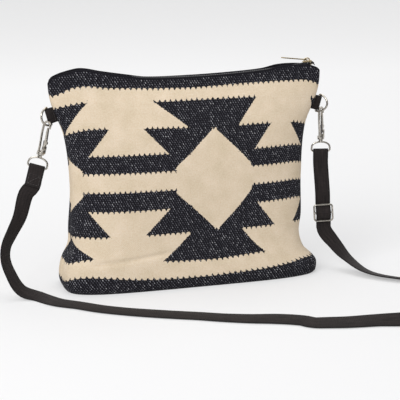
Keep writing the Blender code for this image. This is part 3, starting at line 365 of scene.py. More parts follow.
def strap_route():
    """The webbing's centreline with the direction of its width at each point."""
    route = left_loop()
    left_across = route[-1][1]
    ground = floor_points()
    doubled = right_loop()
    right_across = doubled[0][1]
    for i, point in enumerate(LEFT_HANG):
        share = ((i + 1) / (len(LEFT_HANG) + 1)) ** 2
        turned = Matrix.Rotation(LEFT_TURN * math.sin(math.pi * math.sqrt(share)), 3, "Z")
        route.append((Vector(point) * MM, turned @ left_across.lerp(ground[0][1], share)))
    route += ground
    for i, point in enumerate(RIGHT_HANG):
        share = (i + 1) / len(RIGHT_HANG)
        route.append((Vector(point) * MM, ground[-1][1].lerp(right_across, share)))
    return route + doubled


def cubic(start, leaving, end, arriving, t):
    """A smooth way from start to end at a share t of it, with its slopes where it leaves and arrives."""
    return (start * (2 * t**3 - 3 * t**2 + 1) + leaving * (t**3 - 2 * t**2 + t)
            + end * (3 * t**2 - 2 * t**3) + arriving * (t**3 - t**2))


def smooth_between(route, step):
    """Extra points on a smooth curve through the route's own points, about a step apart."""
    found = []
    last = len(route) - 1
    for i in range(last):
        p0, p1, p2, p3 = (route[min(max(k, 0), last)][0] for k in (i - 1, i, i + 1, i + 2))
        span = (p2 - p1).length
        pieces = max(1, round(span / step))
        m1 = (p2 - p0) * (span / max((p2 - p0).length, span * 0.5)) if i else p2 - p1
        m2 = (p3 - p1) * (span / max((p3 - p1).length, span * 0.5)) if i + 2 <= last else p2 - p1
        for k in range(pieces):
            t = k / pieces
            found.append((cubic(p1, m1, p2, m2, t), route[i][1].lerp(route[i + 1][1], t)))
    found.append(route[-1])
    return found


def webbing_band(name, route, width, thick):
    """A flat band with rounded edges along a route, mapped in metres across it and along it."""
    corner = thick * 0.5
    outline = []
    for sign in (1, -1):
        for turn in (-90, -45, 0, 45, 90):
            angle = math.radians(turn if sign > 0 else 180 + turn)
            outline.append((sign * (width / 2 - corner) + corner * math.cos(angle), corner * math.sin(angle)))
    shape = bmesh.new()
    cloth = shape.loops.layers.uv.new("cloth")
    rings, reach = [], [0.0]
    for i, (point, across) in enumerate(route):
        before, after = route[max(i - 1, 0)][0], route[min(i + 1, len(route) - 1)][0]
        along = (after - before).normalized()
        wide = (across - across.dot(along) * along).normalized()
        out = along.cross(wide).normalized()
        rings.append([shape.verts.new(point + a * wide + b * out) for a, b in outline])
        if i:
            reach.append(reach[-1] + (point - route[i - 1][0]).length)
    for i in range(len(rings) - 1):
        for j in range(len(outline)):
            k = (j + 1) % len(outline)
            face = shape.faces.new((rings[i][j], rings[i][k], rings[i + 1][k], rings[i + 1][j]))
            face.smooth = True
            for loop, (row, column) in zip(face.loops, ((i, j), (i, k), (i + 1, k), (i + 1, j))):
                loop[cloth].uv = (outline[column][0], reach[row])
    shape.faces.new(rings[0])
    shape.faces.new(rings[-1])
    bmesh.ops.recalc_face_normals(shape, faces=shape.faces)
    mesh = bpy.data.meshes.new(name)
    shape.to_mesh(mesh)
    shape.free()
    return link_object(name, mesh)


# Black webbing is matt, with streaks of warp yarn along it and a rib across it at each pick of thick weft,
# and it is drawn darker towards both edges. The real picks are 0.8 mm apart and the yarns 0.4 mm; they are
# drawn
# 1.6 mm and 1.1 mm apart, or they would not show.
RIB_SPACING = 1.6 * MM
STREAK_WIDTH = 1.1111 * MM
STREAK_LENGTH = 16.667 * MM
EDGE_DARKENING = 1.6 * MM
webbing, tree, shader = new_material("black_ribbed_webbing", 0.82, Specular_IOR_Level=0.3, Sheen_Weight=0.06,
                                     Sheen_Roughness=0.5)
place = add(tree, "ShaderNodeUVMap", {}, uv_map="cloth")
split = add(tree, "ShaderNodeSeparateXYZ", {0: place})
ribs = add(tree, "ShaderNodeMath", {0: split.outputs["Y"], 1: math.tau / RIB_SPACING}, operation="MULTIPLY")
ribs = add(tree, "ShaderNodeMath", {0: ribs}, operation="SINE")
streak_size = (1 / STREAK_WIDTH, 1 / STREAK_LENGTH, 1.0)
drawn_out = add(tree, "ShaderNodeMapping", {"Vector": place, "Scale": streak_size})
streaks = add(tree, "ShaderNodeTexNoise", {"Vector": drawn_out, "Scale": 1.0, "Detail": 3.0})
tint = add(tree, "ShaderNodeValToRGB", {"Fac": streaks}, ramp=((0.36, "#171212"), (0.66, "#2a2322")))
from_middle = add(tree, "ShaderNodeMath", {0: split.outputs["X"]}, operation="ABSOLUTE")
# the webbing is drawn darker towards each edge
edge = add(tree, "ShaderNodeMapRange", {"Value": from_middle, "From Min": WEBBING_WIDTH / 2 - EDGE_DARKENING,
                                        "From Max": WEBBING_WIDTH / 2 - EDGE_DARKENING / 2})
yarn = add(tree, "ShaderNodeMix", {"Factor": edge, 6: tint, 7: linear("#120e0e")}, data_type="RGBA")
tree.links.new(yarn.outputs[2], shader.inputs["Base Color"])
height = add(tree, "ShaderNodeMath", {0: ribs, 1: streaks}, operation="ADD")
relief = add(tree, "ShaderNodeBump", {"Height": height, "Distance": 0.15 * MM, "Strength": 0.7})
tree.links.new(relief.outputs[0], shader.inputs["Normal"])


# Sewing thread: black spun polyester, laid in stitches 2.2 mm long. It is a little glossier than the webbing
# and catches light along each stitch.
THREAD_RADIUS = 0.24 * MM
STITCH = 2.2 * MM
STITCH_SPACE = 0.8 * MM
THREAD_TWIST = 0.4 * MM
thread, tree, shader = new_material("black_polyester_thread", 0.55, Sheen_Weight=0.2)
place = add(tree, "ShaderNodeTexCoord", {}).outputs["Object"]
twist = add(tree, "ShaderNodeTexNoise", {"Vector": place, "Scale": 1 / THREAD_TWIST})
tone = add(tree, "ShaderNodeValToRGB", {"Fac": twist}, ramp=((0.0, "#1b1818"), (1.0, "#4a4444")))
tree.links.new(tone.outputs[0], shader.inputs["Base Color"])


def stitching(name, lines, body):
    """Rows of stitches along straight lines, each given as its start, its end and the way it stands out."""
    curve = bpy.data.curves.new(name, "CURVE")
    curve.dimensions = "3D"
    curve.bevel_depth = THREAD_RADIUS
    curve.bevel_resolution = 2
    curve.use_fill_caps = True
    for start, end, out in lines:
        along = end - start
        count = max(1, round(along.length / (STITCH + STITCH_SPACE)))
        for k in range(count):
            first = start + along * (k / count)
            last = start + along * ((k + STITCH / (STITCH + STITCH_SPACE)) / count)
            spline = curve.splines.new("POLY")
            spline.points.add(3)
            for number, (share, rise) in enumerate(((0.0, -1.0), (0.2, 0.5), (0.8, 0.5), (1.0, -1.0))):
                spline.points[number].co = (*(first.lerp(last, share) + out * rise * THREAD_RADIUS), 1.0)
    made = link_object(name, curve)
    curve.materials.append(thread)
    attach(made, body)
    return made


def box_of_stitches(local, half, low, high, front):
    """The four sides and one diagonal of a sewn box, on the face of a band at front in its own frame."""
    out = (local.to_3x3() @ Vector((0, math.copysign(1, front), 0))).normalized()
    places = ((-half, low), (half, low), (half, high), (-half, high))
    corners = [local @ Vector((x, front, z)) for x, z in places]
    pairs = list(zip(corners, corners[1:] + corners[:1])) + [(corners[0], corners[2])]
    return [(start, end, out) for start, end in pairs]


STITCH_INSET = 2.2 * MM
ROUTE_STEP = 3 * MM
# the stitches on the strap's left end move with its ring
tail_front = -LAYER_OFFSET - WEBBING_THICK / 2
tail_lines = box_of_stitches(eye_frame("left"), WEBBING_WIDTH / 2 - STITCH_INSET, STITCH_INSET - SEWN_TAIL,
                             -LOOP_NECK - STITCH_INSET, tail_front)
tail_stitches = stitching("strap_tail_stitches", tail_lines, "left_ring")

route = smooth_between(strap_route(), ROUTE_STEP)
strap = webbing_band("webbing_strap", route, WEBBING_WIDTH, WEBBING_THICK)
strap.data.materials.append(webbing)
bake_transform(strap)
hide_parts("strap_webbing")
eye_frame("left").translation

# The pouch: two panels and a base of heavy jacquard cotton, sewn into one soft bag that stands on its filled
# base. The cloth is 1.8 mm thick, turned in at the mouth as a hem, and drawn in a little at its side seams.
SECTIONS = (
    # height, middle, half width, half depth, squareness
    (10 * MM, 2 * MM, 131 * MM, 40 * MM, 4.1),
    (26 * MM, -3.5 * MM, 123 * MM, 38 * MM, 4.0),
    (42 * MM, -2.5 * MM, 117.5 * MM, 35.5 * MM, 3.6),
    (60 * MM, -1 * MM, 118.5 * MM, 33.5 * MM, 3.2),
    (100 * MM, 0.0, 117.5 * MM, 30 * MM, 2.8),
    (150 * MM, -0.5 * MM, 122 * MM, 23 * MM, 2.8),
    (180 * MM, 0.0, 133.5 * MM, 14.5 * MM, 3.2),
    (202.3 * MM, 0.0, 137 * MM, 7.5 * MM, 4.0),
)
BASE_TOP = SECTIONS[0][0]
MOUTH_HEIGHT = SECTIONS[-1][0]
BASE_EDGE_ROUND = 3 * MM
CLOTH_THICK = 1.8 * MM
CLOTH_WIDTH = 272 * MM
PANEL_COLUMNS = 180
PLAN_SAMPLES = 480
PLAN_STEP = 2 * MM
HEM_DOWN = 11 * MM
ROWS_BUNCH_AT_BASE = 1.6
SEAM_DEPTH = 1.3 * MM
SEAM_REACH = 3 * MM


def section_at(height):
    """The pouch's level section at a height: middle, half width, half depth and squareness."""
    if height >= MOUTH_HEIGHT:
        return SECTIONS[-1][1:]
    if height <= BASE_TOP:
        middle, half_width, half_depth, square = SECTIONS[0][1:]
        share = 1 - max(height, 0.0) / BASE_TOP
        tuck = BASE_EDGE_ROUND * (1 - math.sqrt(1 - share * share))
        return middle, half_width - tuck, half_depth - tuck, square
    upper = next(i for i, row in enumerate(SECTIONS) if row[0] > height)
    before, after = SECTIONS[upper - 1], SECTIONS[upper]
    span = after[0] - before[0]
    t = (height - before[0]) / span
    values = []
    for column in range(1, 5):
        slopes = []
        for at in (upper - 1, upper):
            low, high = SECTIONS[max(at - 1, 0)], SECTIONS[min(at + 1, len(SECTIONS) - 1)]
            ends = at in (0, len(SECTIONS) - 1)
            slopes.append(0.0 if ends else (high[column] - low[column]) / (high[0] - low[0]))
        values.append(cubic(before[column], slopes[0] * span, after[column], slopes[1] * span, t))
    return tuple(values)


def panel_plan(height, inset):
    """Places along one panel at a height, evenly spaced along the cloth, from its left seam to its right."""
    middle, half_width, half_depth, square = section_at(height)
    line, reach = [], [0.0]
    for i in range(PLAN_SAMPLES + 1):
        angle = math.pi * (1 + i / PLAN_SAMPLES)
        across, out = math.cos(angle), abs(math.sin(angle))
        x = math.copysign(abs(across) ** (2 / square), across) * (half_width - inset)
        y = -(out ** (2 / square)) * (half_depth - inset) if 0 < i < PLAN_SAMPLES else 0.0
        line.append((middle + x, y))
        if i:
            reach.append(reach[-1] + math.dist(line[-1], line[-2]))
    found, at = [], 0
    for k in range(PANEL_COLUMNS + 1):
        wanted = reach[-1] * k / PANEL_COLUMNS
        while at < PLAN_SAMPLES - 1 and reach[at + 1] < wanted:
            at += 1
        t = (wanted - reach[at]) / (reach[at + 1] - reach[at])
        found.append(tuple(a + (b - a) * t for a, b in zip(line[at], line[at + 1])))
    return found


plan_heights = [PLAN_STEP * k for k in range(int(MOUTH_HEIGHT / PLAN_STEP) + 2)]
outer_plans = [panel_plan(height, 0.0) for height in plan_heights]
inner_plans = [panel_plan(height, CLOTH_THICK) for height in plan_heights]


def cloth_point(panel, column, height, inset=0.0):
    """A place on the cloth, inset from its outer face by a share of its thickness."""
    at = min(max(height, 0.0) / PLAN_STEP, len(plan_heights) - 1.001)
    low, t = int(at), at - int(at)
    corners = []
    for plans in (outer_plans, inner_plans):
        (x0, y0), (x1, y1) = plans[low][column], plans[low + 1][column]
        corners.append((x0 + (x1 - x0) * t, y0 + (y1 - y0) * t))
    x, y = (a + (b - a) * inset for a, b in zip(*corners))
    if panel:
        x, y = 2 * section_at(height)[0] - x, -y
    return Vector((x, y, height))


def curve_through(points, x):
    """The height at x, both in metres, of a smooth line through (x, height) points in millimetres."""
    x = min(max(x / MM, points[0][0]), points[-1][0])
    upper = next((i for i, point in enumerate(points) if point[0] > x), len(points) - 1)
    p0, p1, p2, p3 = (points[min(max(k, 0), len(points) - 1)] for k in range(upper - 2, upper + 2))
    span = p2[0] - p1[0]
    t = (x - p1[0]) / span
    m1 = (p2[1] - p0[1]) / (p2[0] - p0[0]) * span
    m2 = (p3[1] - p1[1]) / (p3[0] - p1[0]) * span
    return MM * cubic(p1[1], m1, p2[1], m2, t)


def smooth_step(value):
    """A share from 0 to 1 that starts and ends level."""
    value = min(max(value, 0.0), 1.0)
    return value * value * (3 - 2 * value)


# x and height in mm of the cloth's edge at the mouth, and of the pattern's edges that the drape bends
MOUTH_EDGE = (
    (-137, 199.5), (-135, 204.5), (-132, 207.3), (-120, 211.4), (-105, 213.7), (-85, 210), (-61, 206),
    (-40, 203), (4, 202.9), (45, 204.3), (78, 206.6), (95, 210), (115, 210.5), (128, 208.8), (136, 204.8),
    (137, 201),
)
TOP_BAND_EDGE = (
    (-138, 191), (-132, 190.3), (-115, 196.8), (-100, 198), (-80, 195.6), (0, 193), (54, 194.8), (110, 195.4),
    (125, 194), (136, 189.5),
)
TOP_MARGIN_EDGE = (
    (-137, 176.5), (-127, 179), (-104, 182.5), (-70, 182), (-35, 181), (107, 180.5), (137, 175),
)
TOP_STEP_EDGE = ((-137, 150), (-128, 153.5), (-105, 157.5), (-60, 157), (20, 155.2), (107, 155), (137, 149.5))
LOW_MARGIN_EDGE = (
    (-131, 27), (-122, 32.5), (-108, 35), (-98, 33.5), (-60, 31), (20, 27.5), (66, 30), (100, 31), (130, 28),
)
BASE_BAND_EDGE = (
    (-132, 7), (-124, 14.5), (-113, 17.3), (-97, 17), (-55, 12.8), (0, 10.9), (50, 12.5), (95, 15.5),
    (117, 18), (131, 17.5),
)
# the woven pattern's zones from the base up: name, lower edge, rows of mesh, and whether the zone's steps
# lie above the pattern's middle, 1, or below it, -1
ZONES = (
    ("edge", 0.0, 12, 0), ("margin", BASE_BAND_EDGE, 7, 0), ("foot", LOW_MARGIN_EDGE, 16, -1),
    ("wing", 55.6 * MM, 14, -1), ("band", 79.8 * MM, 10, -1), ("stripe", 97 * MM, 10, 0),
    ("band", 116 * MM, 10, 1), ("wing", 132 * MM, 13, 1), ("head", TOP_STEP_EDGE, 14, 1),
    ("margin", TOP_MARGIN_EDGE, 8, 0), ("edge", TOP_BAND_EDGE, 8, 0), ("mouth", MOUTH_EDGE, 0, 0),
)
MOTIF_AT = 21.5 * MM
NEXT_MOTIFS = (-163 * MM, 0.0, 159.5 * MM)
# half widths of the motif in mm: its cream diamond in the middle stripe, at the bands' ends and at its blunt
# tips, the notched wings at the bands and how far they spread, and the head and foot likewise
DIAMOND_HALF, DIAMOND_NECK, DIAMOND_TIP = 43.5, 25.5, 2.2
DIAMOND_ROUND, ROUND_SHARE = 3.5, 0.3
WING_HALF, WING_SPREAD = 45.5, 21
STEP_HALF, STEP_SPREAD = 25.3, 23.1
# mm that the head and foot spread further: the left neighbour's, and this motif's on its left and right
REACH_MORE = {"head": (5, 6, -3), "foot": (8, 0, 2.5)}
# the cloth is eased a little wider on the motif's left, and drawn in on its right
EVEN_HALF = 25 * MM
EASED = (1.135, 0.865)
ALL_BLACK = 10 * MM
PATTERN_MIDDLE = 105 * MM
SEAM_DROP = 3.5 * MM
SEAM_DROP_REACH = 30 * MM


def black_depth(zone, across, out):
    """How far inside black a place is, below 0 in cream; out is its share of the zone from the middle."""
    off = across - MOTIF_AT
    past = (abs(off) - EVEN_HALF) / EASED[off > 0]
    off = math.copysign(EVEN_HALF + past, off) if past > 0 else off
    away = min(abs(off - middle) for middle in NEXT_MOTIFS)
    if zone == "band":
        rounded = DIAMOND_ROUND * max(1 - out / ROUND_SHARE, 0.0) ** 2
        return away - (DIAMOND_HALF - (DIAMOND_HALF - DIAMOND_NECK) * out - rounded) * MM
    if zone == "wing":
        diamond = max(DIAMOND_NECK * (1 - out), DIAMOND_TIP) * MM
        return min(away - diamond, (WING_HALF + WING_SPREAD * out) * MM - away)
    if zone in REACH_MORE:
        next_left, left, right = REACH_MORE[zone]
        more = next_left if off < NEXT_MOTIFS[0] / 2 else left if off < 0 else right
        return (STEP_HALF + (STEP_SPREAD + more) * out) * MM - away
    return ALL_BLACK if zone == "edge" else -ALL_BLACK


CREASE = ((-112, 28.5), (-76, 31.5), (-44, 35), (-4, 39))
CREASE_DEPTH = 1.1 * MM
CREASE_REACH = 1.8 * MM
CREASE_STARTS = 14 * MM
CREASE_ENDS = 40 * MM
WAVE_DEPTH = 1.6 * MM
WAVES_PER_METRE = (14, 30, 9)
CALM_AT_SEAM = 18 * MM
CALM_AT_MOUTH = 15 * MM
CALM_AT_BASE = 8 * MM


def fold_depth(across, point):
    """How far the cloth stands out of its even form: soft waves, the side seams and a crease low in front."""
    edge = CLOTH_WIDTH / 2 - abs(across)
    calm = smooth_step(edge / CALM_AT_SEAM) * smooth_step((MOUTH_HEIGHT - point.z) / CALM_AT_MOUTH)
    wave_at = Vector([distance * count for distance, count in zip(point, WAVES_PER_METRE)])
    waves = noise.noise(wave_at) * WAVE_DEPTH * calm
    seam = -SEAM_DEPTH * (1 - smooth_step(edge / SEAM_REACH))
    crease = 0.0
    if point.y < 0 and CREASE[0][0] * MM < point.x < CREASE[-1][0] * MM:
        off = point.z - curve_through(CREASE, point.x)
        starts = smooth_step((point.x - CREASE[0][0] * MM) / CREASE_STARTS)
        ends = smooth_step((CREASE[-1][0] * MM - point.x) / CREASE_ENDS)
        crease = -CREASE_DEPTH * starts * ends * math.exp(-((off / CREASE_REACH) ** 2))
    return waves + seam + crease


def zone_edge(low, panel, k, across):
    """The height of a zone's lower edge at a column; the even edges drop a little near the side seams."""
    if isinstance(low, tuple):
        level = MOUTH_HEIGHT if low[0][1] * MM > PATTERN_MIDDLE else BASE_TOP
        return curve_through(low, cloth_point(panel, k, level).x)
    near = smooth_step(1 - (CLOTH_WIDTH / 2 - abs(across)) / SEAM_DROP_REACH)
    return low - SEAM_DROP * near * smooth_step(low / PATTERN_MIDDLE)


def along_cloth(height):
    """The height measured along the cloth, which curves under at the base."""
    return height if height > BASE_TOP else BASE_TOP * (1 - math.asin(1 - max(height, 0.0) / BASE_TOP))


def woven_pouch():
    """The pouch as one skin with its hem turned in, with maps of its weave and its black fields."""
    columns = [CLOTH_WIDTH * (k / PANEL_COLUMNS - 0.5) for k in range(PANEL_COLUMNS + 1)]
    around = 2 * PANEL_COLUMNS
    places = [divmod(i, PANEL_COLUMNS) for i in range(around)]
    edges = [[zone_edge(low, panel, k, columns[k]) for panel, k in places] for zone, low, rows, side in ZONES]
    levels = [(number, k / rows) for number, (zone, low, rows, side) in enumerate(ZONES) for k in range(rows)]
    levels.append((len(ZONES) - 2, 1.0))
    verts, heights = [], []
    for number, share in levels:
        share = share**ROWS_BUNCH_AT_BASE if number == 0 else share
        ring = []
        for i, (panel, k) in enumerate(places):
            z = edges[number][i] + (edges[number + 1][i] - edges[number][i]) * share
            if share == 1.0:
                z -= CLOTH_THICK / 2
            point = cloth_point(panel, k, z)
            sideways = cloth_point(panel, min(k + 1, PANEL_COLUMNS), z) - cloth_point(panel, max(k - 1, 0), z)
            out = Vector((sideways.y, -sideways.x, 0)).normalized()
            verts.append(point + out * fold_depth(columns[k], point) * smooth_step(z / CALM_AT_BASE))
            ring.append(z)
        heights.append(ring)
    rim = []
    for turn in (45, 90, 135, 180):
        angle = math.radians(turn)
        rim.append((CLOTH_THICK / 2 * (math.sin(angle) - 1), (1 - math.cos(angle)) / 2))
    rim += [(-CLOTH_THICK / 2 - HEM_DOWN * share, 1.0) for share in (0.15, 0.4, 0.7, 1.0)]
    for drop, inset in rim:
        verts += [cloth_point(panel, k, edges[-1][i] + drop, inset) for i, (panel, k) in enumerate(places)]
    outer_rows, rows = len(levels), len(levels) + len(rim)
    faces, weave = [], []
    maps = {"black_depth": [], "black_beyond": [], "gap_to_edge": [], "from_lip": []}
    for r in range(rows - 1):
        number, start = levels[min(r, outer_rows - 1)]
        zone, side = ZONES[number][0], ZONES[number][3]
        step = -1 if start < 0.5 else 1
        beyond, side_there = "margin", 0
        if 0 <= number + step < len(ZONES) - 1:
            beyond, side_there = ZONES[number + step][0], ZONES[number + step][3]
        for i in range(around):
            j, k = (i + 1) % around, places[i][1]
            faces.append((r * around + i, r * around + j, (r + 1) * around + j, (r + 1) * around + i))
            for row, index, column in ((r, i, k), (r, j, k + 1), (r + 1, j, k + 1), (r + 1, i, k)):
                past = max(row - outer_rows + 1, 0)
                height = heights[min(row, outer_rows - 1)][index] + past * MM
                bottom, top = edges[number][index], edges[number + 1][index]
                share = min(max((height - bottom) / (top - bottom), 0.0), 1.0)
                weave += (columns[column], along_cloth(height))
                out_here = share if side > 0 else 1 - share
                out_there = float(step * side_there < 0)
                maps["black_depth"].append(black_depth(zone, columns[column], out_here))
                maps["black_beyond"].append(black_depth(beyond, columns[column], out_there))
                maps["gap_to_edge"].append(height - bottom if step < 0 else top - height)
                maps["from_lip"].append(edges[-1][index] - height)
    faces.append(tuple(reversed(range(around))))
    under_base = {"black_depth": ALL_BLACK, "black_beyond": -ALL_BLACK, "gap_to_edge": ALL_BLACK,
                  "from_lip": MOUTH_HEIGHT}
    for i in reversed(range(around)):
        weave += (verts[i].x, verts[i].y)
        for name, value in under_base.items():
            maps[name].append(value)
    mesh = bpy.data.meshes.new("woven_pouch")
    mesh.from_pydata(verts, [], faces)
    mesh.uv_layers.new(name="weave").data.foreach_set("uv", weave)
    for name, values in maps.items():
        mesh.attributes.new(name, "FLOAT", "CORNER").data.foreach_set("value", values)
    mesh.shade_smooth()
    mesh.update()
    return link_object("woven_pouch", mesh)


pouch = woven_pouch()

# The weave: cream warp, with black weft floating over it for the pattern. Cream yarn is matt with a fine
# grain; black yarn keeps short slanting flecks of the warp, and its level edges end in narrow teeth. The real
# threads are 0.7 mm apart; their relief is drawn 1.6 mm apart and their grain 1.4 mm wide, or they would not
# show. Flecks and teeth have their real size.
THREAD_SPACING = 1.6 * MM
YARN_GRAIN = 1.4286 * MM
DYE_CLOUD = 18.182 * MM
RAGGED_GRAIN = 1.1111 * MM
RAGGED_REACH = 1.8 * MM
FLECK_ACROSS = 2.5 * MM
FLECK_UP = 2.0 * MM
FLECK_LEAN = math.radians(-57)
# in mm: half the length and width of a fleck, and how far it strays from the middle of its place
FLECK_HALF_SIZE = (0.85, 0.37, 1.0)
FLECK_STRAYS = (0.7, 0.5, 0.0)
TOOTH_SPACING = 5.2 * MM
TOOTH_HALF = 1.5 * MM
TOOTH_HEIGHT = 2.3 * MM
LIP = 1.6 * MM
LIP_FADE = 0.5 * MM
woven, tree, shader = new_material("woven_cotton_cream_and_black", 0.92, Specular_IOR_Level=0.2)
place = add(tree, "ShaderNodeUVMap", {}, uv_map="weave")
split = add(tree, "ShaderNodeSeparateXYZ", {0: place})
across, up = split.outputs["X"], split.outputs["Y"]
inside = add(tree, "ShaderNodeAttribute", {}, attribute_name="black_depth").outputs["Fac"]
beyond = add(tree, "ShaderNodeAttribute", {}, attribute_name="black_beyond").outputs["Fac"]
gap_to = add(tree, "ShaderNodeAttribute", {}, attribute_name="gap_to_edge").outputs["Fac"]
from_lip = add(tree, "ShaderNodeAttribute", {}, attribute_name="from_lip").outputs["Fac"]

off_tooth = add(tree, "ShaderNodeMath", {0: across, 1: TOOTH_SPACING / 2}, operation="PINGPONG")
tooth = add(tree, "ShaderNodeMapRange", {"Value": off_tooth, "From Max": TOOTH_HALF, "To Min": TOOTH_HEIGHT,
                                         "To Max": 0.0}, clamp=False)
tooth = add(tree, "ShaderNodeMath", {0: tooth, 1: gap_to}, operation="SUBTRACT")
tooth = add(tree, "ShaderNodeMath", {0: tooth, 1: beyond}, operation="MINIMUM")
mask = add(tree, "ShaderNodeMath", {0: inside, 1: tooth}, operation="MAXIMUM")
ragged = add(tree, "ShaderNodeTexNoise", {"Vector": place, "Scale": 1 / RAGGED_GRAIN, "Detail": 1.0})
ragged = add(tree, "ShaderNodeMapRange", {"Value": ragged, "To Min": -RAGGED_REACH, "To Max": RAGGED_REACH})
mask = add(tree, "ShaderNodeMath", {0: mask, 1: ragged}, operation="ADD")
mask = add(tree, "ShaderNodeMath", {0: mask, 1: 0.0}, operation="GREATER_THAN")

row = add(tree, "ShaderNodeMath", {0: up, 1: FLECK_UP}, operation="DIVIDE")
row_number = add(tree, "ShaderNodeMath", {0: row}, operation="FLOOR")
row_share = add(tree, "ShaderNodeMath", {0: row}, operation="FRACT")
shift = add(tree, "ShaderNodeMath", {0: row_number, 1: 0.5}, operation="MULTIPLY")
cell = add(tree, "ShaderNodeMath", {0: across, 1: 1 / FLECK_ACROSS, 2: shift}, operation="MULTIPLY_ADD")
cell_number = add(tree, "ShaderNodeMath", {0: cell}, operation="FLOOR")
cell_share = add(tree, "ShaderNodeMath", {0: cell}, operation="FRACT")
which = add(tree, "ShaderNodeCombineXYZ", {"X": cell_number, "Y": row_number})
chance = add(tree, "ShaderNodeTexWhiteNoise", {"Vector": which}, noise_dimensions="2D")
off_across = add(tree, "ShaderNodeMapRange", {"Value": cell_share, "To Min": -FLECK_ACROSS / MM / 2,
                                              "To Max": FLECK_ACROSS / MM / 2})
off_up = add(tree, "ShaderNodeMapRange", {"Value": row_share, "To Min": -FLECK_UP / MM / 2,
                                          "To Max": FLECK_UP / MM / 2})
spot = add(tree, "ShaderNodeCombineXYZ", {"X": off_across, "Y": off_up})
strayed = add(tree, "ShaderNodeVectorMath", {0: chance.outputs["Color"], 1: FLECK_STRAYS,
                                             2: tuple(-0.5 * far for far in FLECK_STRAYS)},
              operation="MULTIPLY_ADD")
spot = add(tree, "ShaderNodeVectorMath", {0: spot, 1: strayed}, operation="ADD")
leaning = add(tree, "ShaderNodeMapping", {"Vector": spot, "Rotation": (0.0, 0.0, FLECK_LEAN),
                                          "Scale": FLECK_HALF_SIZE}, vector_type="TEXTURE")
off_fleck = add(tree, "ShaderNodeVectorMath", {0: leaning}, operation="LENGTH").outputs["Value"]
fleck = add(tree, "ShaderNodeMapRange", {"Value": off_fleck, "From Min": 0.7, "From Max": 1.15, "To Min": 1.0,
                                         "To Max": 0.0})
below_lip = add(tree, "ShaderNodeMapRange", {"Value": from_lip, "From Min": LIP, "From Max": LIP + LIP_FADE})
fleck = add(tree, "ShaderNodeMath", {0: fleck, 1: below_lip}, operation="MULTIPLY")
paleness = add(tree, "ShaderNodeValToRGB", {"Fac": chance.outputs["Value"]},
               ramp=((0.0, "#3a3a41"), (0.5, "#57575e"), (0.85, "#7c7c83"), (1.0, "#b4b4b9")))

clouds = add(tree, "ShaderNodeTexNoise", {"Vector": place, "Scale": 1 / DYE_CLOUD, "Detail": 3.0})
cream = add(tree, "ShaderNodeValToRGB", {"Fac": clouds}, ramp=((0.3, "#dac8ad"), (0.7, "#e7d5bd")))
grain = add(tree, "ShaderNodeTexNoise", {"Vector": place, "Scale": 1 / YARN_GRAIN, "Detail": 2.0})
grained = add(tree, "ShaderNodeMix", {"Factor": 0.3, 6: cream, 7: grain}, data_type="RGBA",
              blend_type="OVERLAY")
black_yarn = add(tree, "ShaderNodeMix", {"Factor": fleck, 6: linear("#15141a"), 7: paleness},
                 data_type="RGBA")
colour = add(tree, "ShaderNodeMix", {"Factor": mask, 6: grained.outputs[2], 7: black_yarn.outputs[2]},
             data_type="RGBA")
tree.links.new(colour.outputs[2], shader.inputs["Base Color"])
over_across = add(tree, "ShaderNodeMath", {0: across, 1: math.tau / THREAD_SPACING}, operation="MULTIPLY")
over_across = add(tree, "ShaderNodeMath", {0: over_across}, operation="SINE")
over_up = add(tree, "ShaderNodeMath", {0: up, 1: math.tau / THREAD_SPACING}, operation="MULTIPLY")
over_up = add(tree, "ShaderNodeMath", {0: over_up}, operation="SINE")
raised = add(tree, "ShaderNodeMath", {0: fleck, 1: mask}, operation="MULTIPLY")
height = add(tree, "ShaderNodeMath", {0: over_across, 1: over_up, 2: raised}, operation="MULTIPLY_ADD")
relief = add(tree, "ShaderNodeBump", {"Height": height, "Distance": 0.12 * MM, "Strength": 0.6})
tree.links.new(relief.outputs[0], shader.inputs["Normal"])
pouch.data.materials.append(woven)
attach(pouch, "root")
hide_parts("woven_shell")


# The lining: an inner bag of thin, dark, plain-woven cotton, hung from the hem and loose inside the pouch. It
# is matt, with a fine even grain of threads 0.4 mm apart, drawn 1.1 mm apart so that they show.
# how far inside the pouch's outer face it hangs, in thicknesses of the woven cloth
LINING_INSET = 1.7
LINING_GRAIN = 1.1111 * MM
LINING_THICK = 0.8 * MM
LINING_FLOOR = 3 * MM
LINING_BELOW_EDGE = 11 * MM
LINING_ROWS = 40
LINING_ROWS_BUNCH = 1.3
lining_verts = []
for r in range(LINING_ROWS + 1):
    for i in range(0, 2 * PANEL_COLUMNS, 2):
        panel, k = divmod(i, PANEL_COLUMNS)
        top = zone_edge(MOUTH_EDGE, panel, k, 0.0) - LINING_BELOW_EDGE
        z = LINING_FLOOR + (top - LINING_FLOOR) * (r / LINING_ROWS) ** LINING_ROWS_BUNCH
        lining_verts.append(cloth_point(panel, k, z, LINING_INSET))
lining_faces = []
for r in range(LINING_ROWS):
    for i in range(PANEL_COLUMNS):
        j = (i + 1) % PANEL_COLUMNS
        low, high = r * PANEL_COLUMNS, (r + 1) * PANEL_COLUMNS
        lining_faces.append((low + i, low + j, high + j, high + i))
lining_faces.append(tuple(reversed(range(PANEL_COLUMNS))))
lining_mesh = bpy.data.meshes.new("inner_bag")
lining_mesh.from_pydata(lining_verts, [], lining_faces)
lining_mesh.shade_smooth()
plain, tree, shader = new_material("dark_plain_cotton", 0.95, Specular_IOR_Level=0.15)
place = add(tree, "ShaderNodeTexCoord", {}).outputs["Object"]
cloth_grain = add(tree, "ShaderNodeTexNoise", {"Vector": place, "Scale": 1 / LINING_GRAIN, "Detail": 2.0})
tone = add(tree, "ShaderNodeValToRGB", {"Fac": cloth_grain}, ramp=((0.0, "#1a1a1c"), (1.0, "#37373b")))
tree.links.new(tone.outputs[0], shader.inputs["Base Color"])
grain_relief = add(tree, "ShaderNodeBump", {"Height": cloth_grain, "Distance": 0.1 * MM, "Strength": 0.5})
